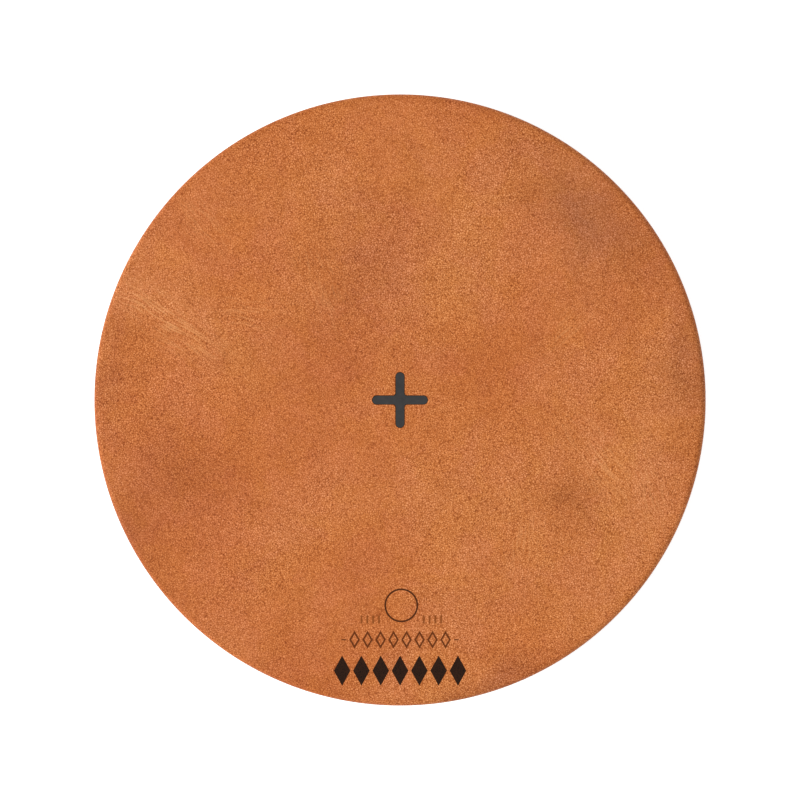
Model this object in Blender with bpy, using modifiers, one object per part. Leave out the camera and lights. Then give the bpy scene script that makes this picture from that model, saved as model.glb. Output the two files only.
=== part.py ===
"""Round wireless charging pad with a leather top.

Run it with: blender --background --python part.py
Units are metres and +Z is up. The origin is the middle of the foot ring's underside.
+Y points at the USB-C socket, so -Y is the side nearest the user.

The pad is built in layers, from the bottom: foot ring, base shell, circuit board and foam,
ferrite disc, coil, lid, glue film and leather cover. Four screws under the foot ring hold
the base shell to the lid.
"""

import math

import bmesh
import bpy
from mathutils import Vector

MM = 0.001

# ---------------------------------------------------------------- driving dimensions
PAD_RADIUS = 50.0 * MM
PAD_HEIGHT = 9.5 * MM
ROUND_STEPS = 64  # facets round the large turned pieces
SMALL_STEPS = 16  # facets round screws, bosses and holes

LAYER_GAP = 0.1 * MM  # between layers that lie on each other
SIDE_GAP = 0.15 * MM  # round a piece that drops into another

LEATHER = 1.0 * MM  # thickness of the leather
LEATHER_DROP = 2.5 * MM  # how far it comes down the side
LEATHER_ROUND = 1.0 * MM  # outer radius where it turns over the edge

FILM = 0.1 * MM  # glue film and coil tape
LID = 1.1 * MM
LID_ROUND = 0.3 * MM
FOOT_SHOWS = 0.6 * MM  # how far the foot ring stands below the base shell
FLOOR = 1.4 * MM
BASE_INSET = 0.6 * MM  # base shell's side, in from the leather's side
BASE_WALL = 1.8 * MM
BASE_ROUND = 2.2 * MM  # round along the base shell's lower edge

# ---------------------------------------------------------------- heights, from the bottom
BASE_BOTTOM = FOOT_SHOWS
FLOOR_TOP = BASE_BOTTOM + FLOOR
LEATHER_UNDERSIDE = PAD_HEIGHT - LEATHER
LEATHER_EDGE = PAD_HEIGHT - LEATHER_DROP
FILM_TOP = LEATHER_UNDERSIDE - LAYER_GAP
LID_TOP = FILM_TOP - FILM - LAYER_GAP
LID_UNDERSIDE = LID_TOP - LID
FLANGE_BOTTOM = LEATHER_EDGE - 0.2 * MM  # the lid shows as a dark line under the leather
WALL_TOP = FLANGE_BOTTOM - LAYER_GAP

# ---------------------------------------------------------------- radii
LEATHER_INSIDE = PAD_RADIUS - LEATHER
LID_RADIUS = LEATHER_INSIDE - SIDE_GAP
BASE_RADIUS = PAD_RADIUS - BASE_INSET
BASE_INSIDE = BASE_RADIUS - BASE_WALL

# ---------------------------------------------------------------- lid's tongue and coil well
TONGUE_OUTSIDE = BASE_INSIDE - 0.25 * MM
TONGUE_INSIDE = TONGUE_OUTSIDE - 0.9 * MM
TONGUE_BOTTOM = 5.8 * MM
WELL_INSIDE = 25.6 * MM
WELL_WALL = 1.0 * MM
WELL_BOTTOM = 4.7 * MM
WELL_GAP = (-5.0 * MM, 7.5 * MM)  # opening in the well for the wires, along X

# ---------------------------------------------------------------- foot ring
FOOT_MIDDLE = 39.0 * MM
FOOT_WIDTH = 6.8 * MM
FOOT_TOP = 1.15 * MM
FOOT_ROUND = 0.35 * MM
GROOVE_TOP = FOOT_TOP + LAYER_GAP

# ---------------------------------------------------------------- coil stack
WIRE_RADIUS = 0.55 * MM  # a bundle of fine enamelled strands, made here as one wire
WIRE_PITCH = 1.15 * MM
COIL_FIRST_RADIUS = 10.2 * MM
COIL_START = math.radians(180)
COIL_TURNS = 9 + 2 / 3
STEPS_PER_TURN = 24
TAPE_RADIUS = 23.0 * MM
TAPE_HOLE = 9.0 * MM
TAPE_TOP = LID_UNDERSIDE - LAYER_GAP
COIL_LEVEL = TAPE_TOP - FILM - LAYER_GAP - WIRE_RADIUS
FERRITE_RADIUS = 25.0 * MM
FERRITE = 1.0 * MM
FERRITE_TOP = COIL_LEVEL - WIRE_RADIUS - LAYER_GAP
SLOT_WIDTH = 4.4 * MM
SLOT_START = 4.6 * MM
INNER_LEAD_X = -1.3 * MM
OUTER_LEAD_X = 4.3 * MM
SOLDER_PADS_Y = 32.5 * MM
LEAD_LEVEL = FERRITE_TOP - WIRE_RADIUS
FOAM_RADIUS = 23.5 * MM
FOAM_TOP = LEAD_LEVEL - WIRE_RADIUS - LAYER_GAP
FOAM_BOTTOM = FLOOR_TOP + LAYER_GAP

# ---------------------------------------------------------------- circuit board
BOARD = 1.0 * MM
BOARD_BOTTOM = 2.5 * MM
BOARD_TOP = BOARD_BOTTOM + BOARD
BOARD_INSIDE = 27.9 * MM
BOARD_OUTSIDE = 45.3 * MM
BOARD_HALF_ANGLE = 38.0  # degrees each side of +Y
SOLDER = 0.1 * MM  # height of a component above the board
COMPONENT_BASE = BOARD_TOP + SOLDER

# ---------------------------------------------------------------- USB-C socket, to the connector's standard
SOCKET_WIDTH = 8.94 * MM
SOCKET_HEIGHT = 3.16 * MM
SOCKET_DEPTH = 7.35 * MM
SOCKET_SHEET = 0.3 * MM
SOCKET_CORNER = 1.4 * MM
SOCKET_LEVEL = 4.0 * MM
SOCKET_FRONT = 48.8 * MM
SOCKET_BACK = SOCKET_FRONT - SOCKET_DEPTH
TONGUE_PLATE = (6.69 * MM, 0.70 * MM)
TONGUE_SET_BACK = 0.8 * MM
WINDOW_MARGIN = 0.3 * MM

# ---------------------------------------------------------------- screws
CASE_SCREW_ANGLES = (40, 140, 220, 320)
CASE_SHANK = 1.0 * MM  # radius
CASE_HEAD = 1.9 * MM
CASE_HEAD_HEIGHT = 0.8 * MM
CASE_HEAD_BOTTOM = 1.4 * MM
CASE_SCREW_TOP = 6.1 * MM
BASE_BOSS_RADIUS = 3.2 * MM
BASE_BOSS_TOP = 4.0 * MM
LID_BOSS_RADIUS = 2.6 * MM
BOARD_SCREWS = ((42.4 * MM, 58), (42.4 * MM, 122), (31.2 * MM, 113))  # radius and angle
BOARD_SHANK = 0.8 * MM
BOARD_HEAD = 1.5 * MM
BOARD_HEAD_HEIGHT = 0.7 * MM
BOARD_BOSS_RADIUS = 2.0 * MM

# ---------------------------------------------------------------- light pipe
PIPE_ANGLE = 107
PIPE_RADIUS = 0.9 * MM
PIPE_FLANGE = 1.3 * MM
PIPE_START = 45.7 * MM
PIPE_FLANGE_END = 46.4 * MM
PIPE_END = BASE_RADIUS - 0.1 * MM
LED_DISTANCE = 44.3 * MM  # from the pad's middle

# ---------------------------------------------------------------- centre mark, a plain plus let into the leather
MARK_SPAN = 9.0 * MM
MARK_STROKE = 1.4 * MM
MARK_FILLET = 0.4 * MM  # where two arms meet
MARK_DEPTH = 0.5 * MM
MARK_TOP = PAD_HEIGHT - 0.05 * MM
MARK_GAP = 0.12 * MM


# ================================================================ helpers
def clear_scene():
    for old in list(bpy.data.objects):
        bpy.data.objects.remove(old)


def new_collection(name):
    collection = bpy.data.collections.new(name)
    bpy.context.scene.collection.children.link(collection)
    return collection


def make_material(name, colour, roughness, metallic=0.0):
    material = bpy.data.materials.new(name)
    material.use_nodes = True
    shader = material.node_tree.nodes["Principled BSDF"]
    shader.inputs["Base Color"].default_value = (*colour, 1.0)
    shader.inputs["Roughness"].default_value = roughness
    shader.inputs["Metallic"].default_value = metallic
    return material


def polar(radius, degrees):
    angle = math.radians(degrees)
    return radius * math.cos(angle), radius * math.sin(angle)


def arc(centre, radius, start, end, count):
    """Points along an arc in a plane, from start to end degrees, both ends included."""
    points = []
    for i in range(count + 1):
        x, y = polar(radius, start + (end - start) * i / count)
        points.append((centre[0] + x, centre[1] + y))
    return points


def file_away(obj, collection, material=None):
    """Moves an object into one collection and gives it its material."""
    for old in list(obj.users_collection):
        old.objects.unlink(obj)
    collection.objects.link(obj)
    if material:
        obj.data.materials.clear()
        obj.data.materials.append(material)
    return obj


def as_tool(obj):
    """Makes an object a helper for Booleans: it is never a piece of the pad."""
    file_away(obj, tools)
    obj.hide_render = True
    obj.display_type = "WIRE"
    return obj


def boolean(target, tool, operation, solver="EXACT"):
    modifier = target.modifiers.new(tool.name, "BOOLEAN")
    modifier.operation = operation
    modifier.solver = solver
    modifier.object = tool


def cut(target, *cutters):
    for cutter in cutters:
        boolean(target, as_tool(cutter), "DIFFERENCE")


def join(target, *additions):
    for addition in additions:
        boolean(target, as_tool(addition), "UNION")


def smooth(obj, degrees=30):
    obj.data.shade_smooth()
    obj.data.set_sharp_from_angle(angle=math.radians(degrees))


def turned(name, profile, ring=False, steps=ROUND_STEPS):
    """A solid of revolution about Z. The profile holds (radius, height) and runs down its outer side."""
    mesh = bpy.data.meshes.new(name)
    edges = [(i, i + 1) for i in range(len(profile) - 1)]
    if ring:
        edges.append((len(profile) - 1, 0))
    mesh.from_pydata([(radius, 0.0, height) for radius, height in profile], edges, [])
    obj = bpy.data.objects.new(name, mesh)
    bpy.context.scene.collection.objects.link(obj)
    screw = obj.modifiers.new("turn", "SCREW")
    screw.axis = "Z"
    screw.angle = math.tau
    screw.steps = steps
    screw.render_steps = steps
    screw.use_merge_vertices = True
    screw.merge_threshold = 0.00001
    screw.use_smooth_shade = True
    return obj


def rod(name, radius, bottom, top, x=0.0, y=0.0, steps=SMALL_STEPS):
    """An upright cylinder between two heights."""
    bpy.ops.mesh.primitive_cylinder_add(
        vertices=steps, radius=radius, depth=top - bottom, location=(x, y, (bottom + top) / 2)
    )
    obj = bpy.context.object
    obj.name = name
    smooth(obj)
    return obj


def block(name, size, centre, bevel=0.0):
    """A box of the given size, with softened edges if a bevel is given."""
    bpy.ops.mesh.primitive_cube_add(size=1.0, location=centre)
    obj = bpy.context.object
    obj.name = name
    for vertex in obj.data.vertices:
        vertex.co = Vector(a * b for a, b in zip(vertex.co, size))
    if bevel:
        modifier = obj.modifiers.new("edges", "BEVEL")
        modifier.width = bevel
        modifier.segments = 1
    return obj


def slab(name, outlines, thickness, centre, upright=False):
    """A flat plate with holes: the first outline is its edge, the others are holes in it.

    Lying plates have their outlines in X and Y. Upright ones have them in X and Z.
    """
    curve = bpy.data.curves.new(name, "CURVE")
    curve.dimensions = "2D"
    curve.fill_mode = "BOTH"
    curve.extrude = thickness / 2
    for outline in outlines:
        spline = curve.splines.new("POLY")
        spline.points.add(len(outline) - 1)
        for point, (x, y) in zip(spline.points, outline):
            point.co = (x, y, 0.0, 1.0)
        spline.use_cyclic_u = True
    drawn = bpy.data.objects.new(name + "_outline", curve)
    bpy.context.scene.collection.objects.link(drawn)
    drawn.location = centre
    if upright:
        drawn.rotation_euler.x = math.radians(90)
    bpy.context.view_layer.update()
    graph = bpy.context.evaluated_depsgraph_get()
    mesh = bpy.data.meshes.new_from_object(drawn.evaluated_get(graph))
    obj = bpy.data.objects.new(name, mesh)
    bpy.context.scene.collection.objects.link(obj)
    obj.matrix_world = drawn.matrix_world
    bpy.data.objects.remove(drawn)
    welded = bmesh.new()
    welded.from_mesh(mesh)
    bmesh.ops.remove_doubles(welded, verts=welded.verts, dist=0.000001)
    bmesh.ops.recalc_face_normals(welded, faces=welded.faces)
    welded.to_mesh(mesh)
    welded.free()
    smooth(obj)
    return obj


def rounded_rectangle(width, height, corner, count=4):
    """Outline of a rectangle with round corners, centred, running anticlockwise."""
    across = width / 2 - corner
    up = height / 2 - corner
    points = []
    for x, y, start in ((across, up, 0), (-across, up, 90), (-across, -up, 180), (across, -up, 270)):
        points += arc((x, y), corner, start, start + 90, count)
    return points


def circle(x, y, radius, count=SMALL_STEPS):
    return arc((x, y), radius, 0, 360 * (count - 1) / count, count - 1)


def smooth_path(points, per_span):
    """A Catmull-Rom curve through the points, with per_span points from each to the next."""
    knots = [Vector(p) for p in points]
    ends = [2 * knots[0] - knots[1]] + knots + [2 * knots[-1] - knots[-2]]
    path = []
    for a, b, c, d in zip(ends, ends[1:], ends[2:], ends[3:]):
        for i in range(per_span):
            t = i / per_span
            path.append(
                0.5 * (2 * b + (c - a) * t + (2 * a - 5 * b + 4 * c - d) * t**2 + (3 * b - 3 * c + d - a) * t**3)
            )
    path.append(knots[-1])
    return path


def wire(name, path, radius, resolution):
    curve = bpy.data.curves.new(name, "CURVE")
    curve.dimensions = "3D"
    curve.bevel_depth = radius
    curve.bevel_resolution = resolution
    curve.use_fill_caps = True
    spline = curve.splines.new("POLY")
    spline.points.add(len(path) - 1)
    for point, place in zip(spline.points, path):
        point.co = (*place, 1.0)
    spline.use_smooth = True
    obj = bpy.data.objects.new(name, curve)
    bpy.context.scene.collection.objects.link(obj)
    return obj


# ================================================================ casing
def plus_outline(span, stroke):
    """A plain plus with round ends and small fillets between its arms, centred."""
    half = stroke / 2
    fillet_centre = half + MARK_FILLET
    arm = arc((fillet_centre, -fillet_centre), MARK_FILLET, 180, 90, 3)
    arm += arc((span / 2 - half, 0.0), half, -90, 90, 6)
    points = []
    for turn in range(4):
        cos, sin = math.cos(turn * math.pi / 2), math.sin(turn * math.pi / 2)
        points += [(x * cos - y * sin, x * sin + y * cos) for x, y in arm]
    return points


def leather_cover():
    """A shallow cup: a disc of leather whose edge turns down over the lid."""
    outer_corner = (PAD_RADIUS - LEATHER_ROUND, PAD_HEIGHT - LEATHER_ROUND)
    inner_round = LID_ROUND + SIDE_GAP
    inner_corner = (LEATHER_INSIDE - inner_round, LEATHER_UNDERSIDE - inner_round)
    profile = [(0.0, PAD_HEIGHT)]
    profile += arc(outer_corner, LEATHER_ROUND, 90, 0, 4)
    profile += [(PAD_RADIUS, LEATHER_EDGE), (LEATHER_INSIDE, LEATHER_EDGE)]
    profile += arc(inner_corner, inner_round, 0, 90, 2)
    profile.append((0.0, LEATHER_UNDERSIDE))
    cover = turned("leather_cover", profile)
    pocket = slab(
        "mark_pocket",
        [plus_outline(MARK_SPAN + 2 * MARK_GAP, MARK_STROKE + 2 * MARK_GAP)],
        2 * (MARK_DEPTH + MARK_GAP),
        (0.0, 0.0, PAD_HEIGHT),
    )
    # EXACT leaves slits along the straight sides of this pocket's floor.
    boolean(cover, as_tool(pocket), "DIFFERENCE", solver="MANIFOLD")
    return file_away(cover, pad, leather)


def centre_mark():
    """Silicone plus that shows where the phone's middle goes. It lies just below the leather's face."""
    mark = slab(
        "centre_mark", [plus_outline(MARK_SPAN, MARK_STROKE)], MARK_DEPTH, (0.0, 0.0, MARK_TOP - MARK_DEPTH / 2)
    )
    return file_away(mark, pad, dark_silicone)


def glue_film():
    radius = LID_RADIUS - LID_ROUND
    film = rod("glue_film", radius, FILM_TOP - FILM, FILM_TOP, steps=ROUND_STEPS)
    return file_away(film, pad, clear_film)


def case_screw_places():
    return [polar(FOOT_MIDDLE, angle) for angle in CASE_SCREW_ANGLES]


def lid():
    """The upper shell: a disc with a tongue that drops inside the base shell and a well for the coil."""
    profile = [(0.0, LID_TOP)]
    profile += arc((LID_RADIUS - LID_ROUND, LID_TOP - LID_ROUND), LID_ROUND, 90, 0, 2)
    profile += [
        (LID_RADIUS, FLANGE_BOTTOM),
        (TONGUE_OUTSIDE, FLANGE_BOTTOM),
        (TONGUE_OUTSIDE, TONGUE_BOTTOM),
        (TONGUE_INSIDE, TONGUE_BOTTOM),
        (TONGUE_INSIDE, LID_UNDERSIDE),
        (WELL_INSIDE + WELL_WALL, LID_UNDERSIDE),
        (WELL_INSIDE + WELL_WALL, WELL_BOTTOM),
        (WELL_INSIDE, WELL_BOTTOM),
        (WELL_INSIDE, LID_UNDERSIDE),
        (0.0, LID_UNDERSIDE),
    ]
    shell = turned("lid", profile)
    gap_left, gap_right = WELL_GAP
    well_height = LID_UNDERSIDE - WELL_BOTTOM
    cut(
        shell,
        block(
            "well_gap_cutter",
            (gap_right - gap_left, 4 * MM, well_height + 1 * MM),
            ((gap_left + gap_right) / 2, WELL_INSIDE, WELL_BOTTOM - 0.5 * MM + well_height / 2),
        ),
    )
    overlap = 0.3 * MM
    for number, (x, y) in enumerate(case_screw_places(), 1):
        boss_bottom = BASE_BOSS_TOP + LAYER_GAP
        pilot_top = CASE_SCREW_TOP + 0.2 * MM
        join(shell, rod(f"lid_boss_{number}", LID_BOSS_RADIUS, boss_bottom, LID_UNDERSIDE + overlap, x, y))
        cut(shell, rod(f"lid_pilot_{number}", CASE_SHANK + SIDE_GAP, boss_bottom - 1 * MM, pilot_top, x, y))
    return file_away(shell, pad, case_plastic)


def base_shell():
    """The lower shell: a round pan with a groove for the foot ring, bosses, a socket window and an LED hole."""
    foot_inside = FOOT_MIDDLE - FOOT_WIDTH / 2 - SIDE_GAP
    foot_outside = FOOT_MIDDLE + FOOT_WIDTH / 2 + SIDE_GAP
    profile = [
        (0.0, FLOOR_TOP),
        (BASE_INSIDE, FLOOR_TOP),
        (BASE_INSIDE, WALL_TOP),
        (BASE_RADIUS - 0.3 * MM, WALL_TOP),
        (BASE_RADIUS, WALL_TOP - 0.3 * MM),
    ]
    profile += arc((BASE_RADIUS - BASE_ROUND, BASE_BOTTOM + BASE_ROUND), BASE_ROUND, 0, -90, 4)
    profile += [
        (foot_outside, BASE_BOTTOM),
        (foot_outside, GROOVE_TOP),
        (foot_inside, GROOVE_TOP),
        (foot_inside, BASE_BOTTOM),
        (0.0, BASE_BOTTOM),
    ]
    shell = turned("base_shell", profile)
    boss_foot = FLOOR_TOP - 0.3 * MM
    recess_top = CASE_HEAD_BOTTOM + CASE_HEAD_HEIGHT + SIDE_GAP
    for number, (x, y) in enumerate(case_screw_places(), 1):
        join(shell, rod(f"case_boss_{number}", BASE_BOSS_RADIUS, boss_foot, BASE_BOSS_TOP, x, y))
        cut(
            shell,
            rod(f"head_recess_{number}", CASE_HEAD + SIDE_GAP, BASE_BOTTOM, recess_top, x, y),
            rod(f"shank_hole_{number}", CASE_SHANK + SIDE_GAP, BASE_BOTTOM, BASE_BOSS_TOP + 1 * MM, x, y),
        )
    for number, (radius, angle) in enumerate(BOARD_SCREWS, 1):
        x, y = polar(radius, angle)
        join(shell, rod(f"board_boss_{number}", BOARD_BOSS_RADIUS, boss_foot, BOARD_BOTTOM - LAYER_GAP, x, y))
        cut(shell, rod(f"board_pilot_{number}", BOARD_SHANK + SIDE_GAP, FLOOR_TOP - 0.6 * MM, BOARD_TOP, x, y))
    window = slab(
        "socket_window",
        [rounded_rectangle(SOCKET_WIDTH + 2 * WINDOW_MARGIN, SOCKET_HEIGHT + 2 * WINDOW_MARGIN, SOCKET_CORNER)],
        6 * MM,
        (0.0, BASE_RADIUS - BASE_WALL / 2, SOCKET_LEVEL),
        upright=True,
    )
    led_hole = rod("led_hole", PIPE_RADIUS + SIDE_GAP, -4 * MM, 4 * MM)
    aim_outwards(led_hole, BASE_RADIUS)
    cut(shell, window, led_hole)
    return file_away(shell, pad, case_plastic)


def foot_ring():
    """The silicone ring that the pad stands on. It hides the four case screws."""
    inside = FOOT_MIDDLE - FOOT_WIDTH / 2
    outside = FOOT_MIDDLE + FOOT_WIDTH / 2
    profile = [(inside, FOOT_TOP), (outside, FOOT_TOP)]
    profile += arc((outside - FOOT_ROUND, FOOT_ROUND), FOOT_ROUND, 0, -90, 2)
    profile += arc((inside + FOOT_ROUND, FOOT_ROUND), FOOT_ROUND, -90, -180, 2)
    ring = turned("foot_ring", profile, ring=True)
    return file_away(ring, pad, dark_silicone)


def screw(name, head_radius, shank_radius, head_bottom, head_height, top, x, y):
    """A pan-head screw with its head down, a cross recess in the head and a short point."""
    point = 0.6 * MM
    soft = 0.2 * MM
    head_top = head_bottom + head_height
    profile = [
        (0.0, top),
        (shank_radius * 0.45, top),
        (shank_radius, top - point),
        (shank_radius, head_top),
        (head_radius, head_top),
        (head_radius, head_bottom + soft),
        (head_radius - soft, head_bottom),
        (0.0, head_bottom),
    ]
    obj = turned(name, profile, steps=SMALL_STEPS)
    obj.location = (x, y, 0.0)
    recess = (head_radius * 1.1, head_radius * 0.26, head_height)
    for turn, size in enumerate((recess, (recess[1], recess[0], recess[2]))):
        cut(obj, block(f"{name}_recess_{turn}", size, (x, y, head_bottom)))
    return file_away(obj, pad, zinc_steel)


def case_screws():
    for number, (x, y) in enumerate(case_screw_places(), 1):
        screw(
            f"case_screw_{number}", CASE_HEAD, CASE_SHANK, CASE_HEAD_BOTTOM, CASE_HEAD_HEIGHT, CASE_SCREW_TOP, x, y
        )


# ================================================================ coil stack
def coil_tape():
    profile = [
        (TAPE_HOLE, TAPE_TOP),
        (TAPE_RADIUS, TAPE_TOP),
        (TAPE_RADIUS, TAPE_TOP - FILM),
        (TAPE_HOLE, TAPE_TOP - FILM),
    ]
    return file_away(turned("coil_tape", profile, ring=True, steps=48), pad, amber_tape)


def coil_path():
    """The wire in one run: solder pad, under the turns, up into the middle, round the spiral and out."""
    pad_level = BOARD_TOP + LAYER_GAP + WIRE_RADIUS
    climb = COIL_LEVEL - LEAD_LEVEL
    inner = [
        (INNER_LEAD_X, SOLDER_PADS_Y, pad_level),
        (INNER_LEAD_X, 30.6 * MM, pad_level),
        (INNER_LEAD_X, 28.4 * MM, (pad_level + LEAD_LEVEL) / 2),
        (INNER_LEAD_X, 26.4 * MM, LEAD_LEVEL),
        (INNER_LEAD_X, 18.0 * MM, LEAD_LEVEL),
        (INNER_LEAD_X, 11.2 * MM, LEAD_LEVEL),
        (INNER_LEAD_X, 9.4 * MM, LEAD_LEVEL + 0.2 * climb),
        (INNER_LEAD_X, 8.2 * MM, LEAD_LEVEL + 0.8 * climb),
        (INNER_LEAD_X, 7.2 * MM, COIL_LEVEL),
    ]
    path = smooth_path(inner, 3)
    entry_start, entry_steps = math.radians(100), 6
    entry_radius = 7.3 * MM
    for i in range(1, entry_steps):
        share = i / entry_steps
        eased = share * share * (3 - 2 * share)
        angle = entry_start + (COIL_START - entry_start) * share
        radius = entry_radius + (COIL_FIRST_RADIUS - entry_radius) * eased
        path.append(Vector((radius * math.cos(angle), radius * math.sin(angle), COIL_LEVEL)))
    for i in range(round(COIL_TURNS * STEPS_PER_TURN) + 1):
        turns = i / STEPS_PER_TURN
        angle = COIL_START + math.tau * turns
        radius = COIL_FIRST_RADIUS + WIRE_PITCH * turns
        path.append(Vector((radius * math.cos(angle), radius * math.sin(angle), COIL_LEVEL)))
    end = path[-1]
    outer = [
        end,
        (end.x - 2.6 * MM, end.y + 2.0 * MM, COIL_LEVEL),
        (4.9 * MM, 24.0 * MM, COIL_LEVEL),
        (4.5 * MM, 25.8 * MM, COIL_LEVEL - 0.15 * MM),
        (OUTER_LEAD_X, 28.0 * MM, (pad_level + COIL_LEVEL) / 2 - 0.2 * MM),
        (OUTER_LEAD_X, 30.4 * MM, pad_level),
        (OUTER_LEAD_X, SOLDER_PADS_Y, pad_level),
    ]
    return path[:-1] + smooth_path(outer, 3)


def charging_coil():
    return file_away(wire("charging_coil", coil_path(), WIRE_RADIUS, 2), pad, copper_wire)


def ferrite_disc():
    """Shields the board from the coil. Its slot lets the coil's inner lead out under the turns."""
    disc = rod("ferrite_disc", FERRITE_RADIUS, FERRITE_TOP - FERRITE, FERRITE_TOP, steps=72)
    length = FERRITE_RADIUS - SLOT_START + 2 * MM
    slot = block("slot_cutter", (SLOT_WIDTH, length, 3 * FERRITE), (0.0, SLOT_START + length / 2, FERRITE_TOP))
    cut(disc, slot)
    return file_away(disc, pad, ferrite)


def coil_foam():
    """Foam disc that presses the ferrite and coil up against the lid."""
    return file_away(rod("coil_foam", FOAM_RADIUS, FOAM_BOTTOM, FOAM_TOP, steps=48), pad, foam)


def thermistor():
    """Bead in the middle of the coil that feels its heat, and its two wires to the board."""
    bead_radius = 0.6 * MM
    bead_y = 2.4 * MM
    bead_level = FERRITE_TOP + LAYER_GAP + bead_radius
    bpy.ops.mesh.primitive_uv_sphere_add(
        segments=12, ring_count=8, radius=bead_radius, location=(1.0 * MM, bead_y, bead_level)
    )
    bead = bpy.context.object
    bead.name = "thermistor_bead"
    smooth(bead)
    file_away(bead, pad, black_epoxy)
    radius = 0.2 * MM
    for number, x in enumerate((0.7 * MM, 1.3 * MM), 1):
        run = [
            (x, 32.4 * MM, BOARD_TOP + LAYER_GAP + radius),
            (x, 30.2 * MM, BOARD_TOP + LAYER_GAP + radius),
            (x, 26.6 * MM, LEAD_LEVEL),
            (x, 16.0 * MM, LEAD_LEVEL),
            (x, 8.0 * MM, LEAD_LEVEL),
            (x, SLOT_START + 0.5 * MM, bead_level - 0.1 * MM),
            (x, bead_y + bead_radius + LAYER_GAP, bead_level),
        ]
        lead = wire(f"thermistor_wire_{number}", smooth_path(run, 3), radius, 1)
        file_away(lead, pad, red_insulation if number == 1 else black_epoxy)


# ================================================================ electronics
def main_board():
    """A crescent beside the coil, notched for the socket and drilled for its three screws."""
    start, end = 90 - BOARD_HALF_ANGLE, 90 + BOARD_HALF_ANGLE
    notch_half = SOCKET_WIDTH / 2 + WINDOW_MARGIN
    notch_inside = SOCKET_BACK - WINDOW_MARGIN
    notch_angle = 90 - math.degrees(math.acos(notch_half / BOARD_OUTSIDE))
    outline = arc((0, 0), BOARD_OUTSIDE, start, 90 - notch_angle, 8)
    outline += [(notch_half, notch_inside), (-notch_half, notch_inside)]
    outline += arc((0, 0), BOARD_OUTSIDE, 90 + notch_angle, end, 8)
    outline += arc((0, 0), BOARD_INSIDE, end, start, 14)
    holes = [circle(*polar(radius, angle), BOARD_SHANK + SIDE_GAP) for radius, angle in BOARD_SCREWS]
    board = slab("main_board", [outline, *holes], BOARD, (0.0, 0.0, BOARD_BOTTOM + BOARD / 2))
    return file_away(board, pad, solder_mask)


def board_screws():
    """Screws that hold the board down. They are the case screws' shape, turned head up."""
    for number, (radius, angle) in enumerate(BOARD_SCREWS, 1):
        x, y = polar(radius, angle)
        head_face = BOARD_TOP + LAYER_GAP + BOARD_HEAD_HEIGHT
        obj = screw(
            f"board_screw_{number}",
            BOARD_HEAD,
            BOARD_SHANK,
            -head_face,
            BOARD_HEAD_HEIGHT,
            -(FLOOR_TOP - 0.4 * MM),
            0.0,
            0.0,
        )
        obj.location = (x, y, 0.0)
        obj.rotation_euler.x = math.pi
        for modifier in obj.modifiers:
            if modifier.type == "BOOLEAN":
                centre = modifier.object.location
                modifier.object.location = (x + centre.x, y, -centre.z)


def usb_socket():
    """The steel shell of the USB-C socket, and the moulding inside it that carries the contacts."""
    inside = (SOCKET_WIDTH - 2 * SOCKET_SHEET, SOCKET_HEIGHT - 2 * SOCKET_SHEET)
    inner_corner = SOCKET_CORNER - SOCKET_SHEET
    shell = slab(
        "usb_shell",
        [rounded_rectangle(SOCKET_WIDTH, SOCKET_HEIGHT, SOCKET_CORNER), rounded_rectangle(*inside, inner_corner)],
        SOCKET_DEPTH,
        (0.0, SOCKET_FRONT - SOCKET_DEPTH / 2, SOCKET_LEVEL),
        upright=True,
    )
    file_away(shell, pad, stainless)
    back_depth = 1.6 * MM
    moulding = slab(
        "usb_moulding",
        [rounded_rectangle(inside[0] - 2 * LAYER_GAP, inside[1] - 2 * LAYER_GAP, inner_corner - LAYER_GAP)],
        back_depth,
        (0.0, SOCKET_BACK + LAYER_GAP + back_depth / 2, SOCKET_LEVEL),
        upright=True,
    )
    plate_start = SOCKET_BACK + back_depth / 2
    plate_end = SOCKET_FRONT - TONGUE_SET_BACK
    plate = block(
        "tongue_plate",
        (TONGUE_PLATE[0], plate_end - plate_start, TONGUE_PLATE[1]),
        (0.0, (plate_start + plate_end) / 2, SOCKET_LEVEL),
    )
    join(moulding, plate)
    return file_away(moulding, pad, black_epoxy)


def component(name, size, x, y, material, bevel=0.12 * MM):
    width, depth, height = size
    obj = block(name, (width, depth, height), (x, y, COMPONENT_BASE + height / 2), bevel)
    return file_away(obj, pad, material)


def components():
    """What the board carries: the charging controller, its power stage and the parts that tune the coil."""
    component("controller_chip", (5.0 * MM, 5.0 * MM, 0.85 * MM), 0.0, 36.6 * MM, black_epoxy)
    for number, side in enumerate((-1, 1), 1):
        component(f"bridge_chip_{number}", (3.4 * MM, 4.6 * MM, 0.85 * MM), side * 8.2 * MM, 36.6 * MM, black_epoxy)
        component(
            f"input_capacitor_{number}", (3.2 * MM, 2.5 * MM, 1.8 * MM), side * 8.6 * MM, 41.3 * MM, tan_ceramic
        )
    places = [(x, y) for y in (30.6 * MM, 32.9 * MM) for x in (8.6 * MM, 12.8 * MM)]
    for number, (x, y) in enumerate(places, 1):
        component(f"resonance_capacitor_{number}", (3.2 * MM, 1.6 * MM, 1.4 * MM), x, y, tan_ceramic)
    component("power_inductor", (4.6 * MM, 4.6 * MM, 2.4 * MM), 14.4 * MM, 38.2 * MM, ferrite, 0.5 * MM)
    component("crystal", (3.2 * MM, 2.5 * MM, 0.8 * MM), -5.8 * MM, 32.0 * MM, stainless)


def status_led():
    x, y = polar(LED_DISTANCE, PIPE_ANGLE)
    led = component("status_led", (1.6 * MM, 0.9 * MM, 0.8 * MM), x, y, white_lens, 0.08 * MM)
    led.rotation_euler.z = math.radians(PIPE_ANGLE - 90)


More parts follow.
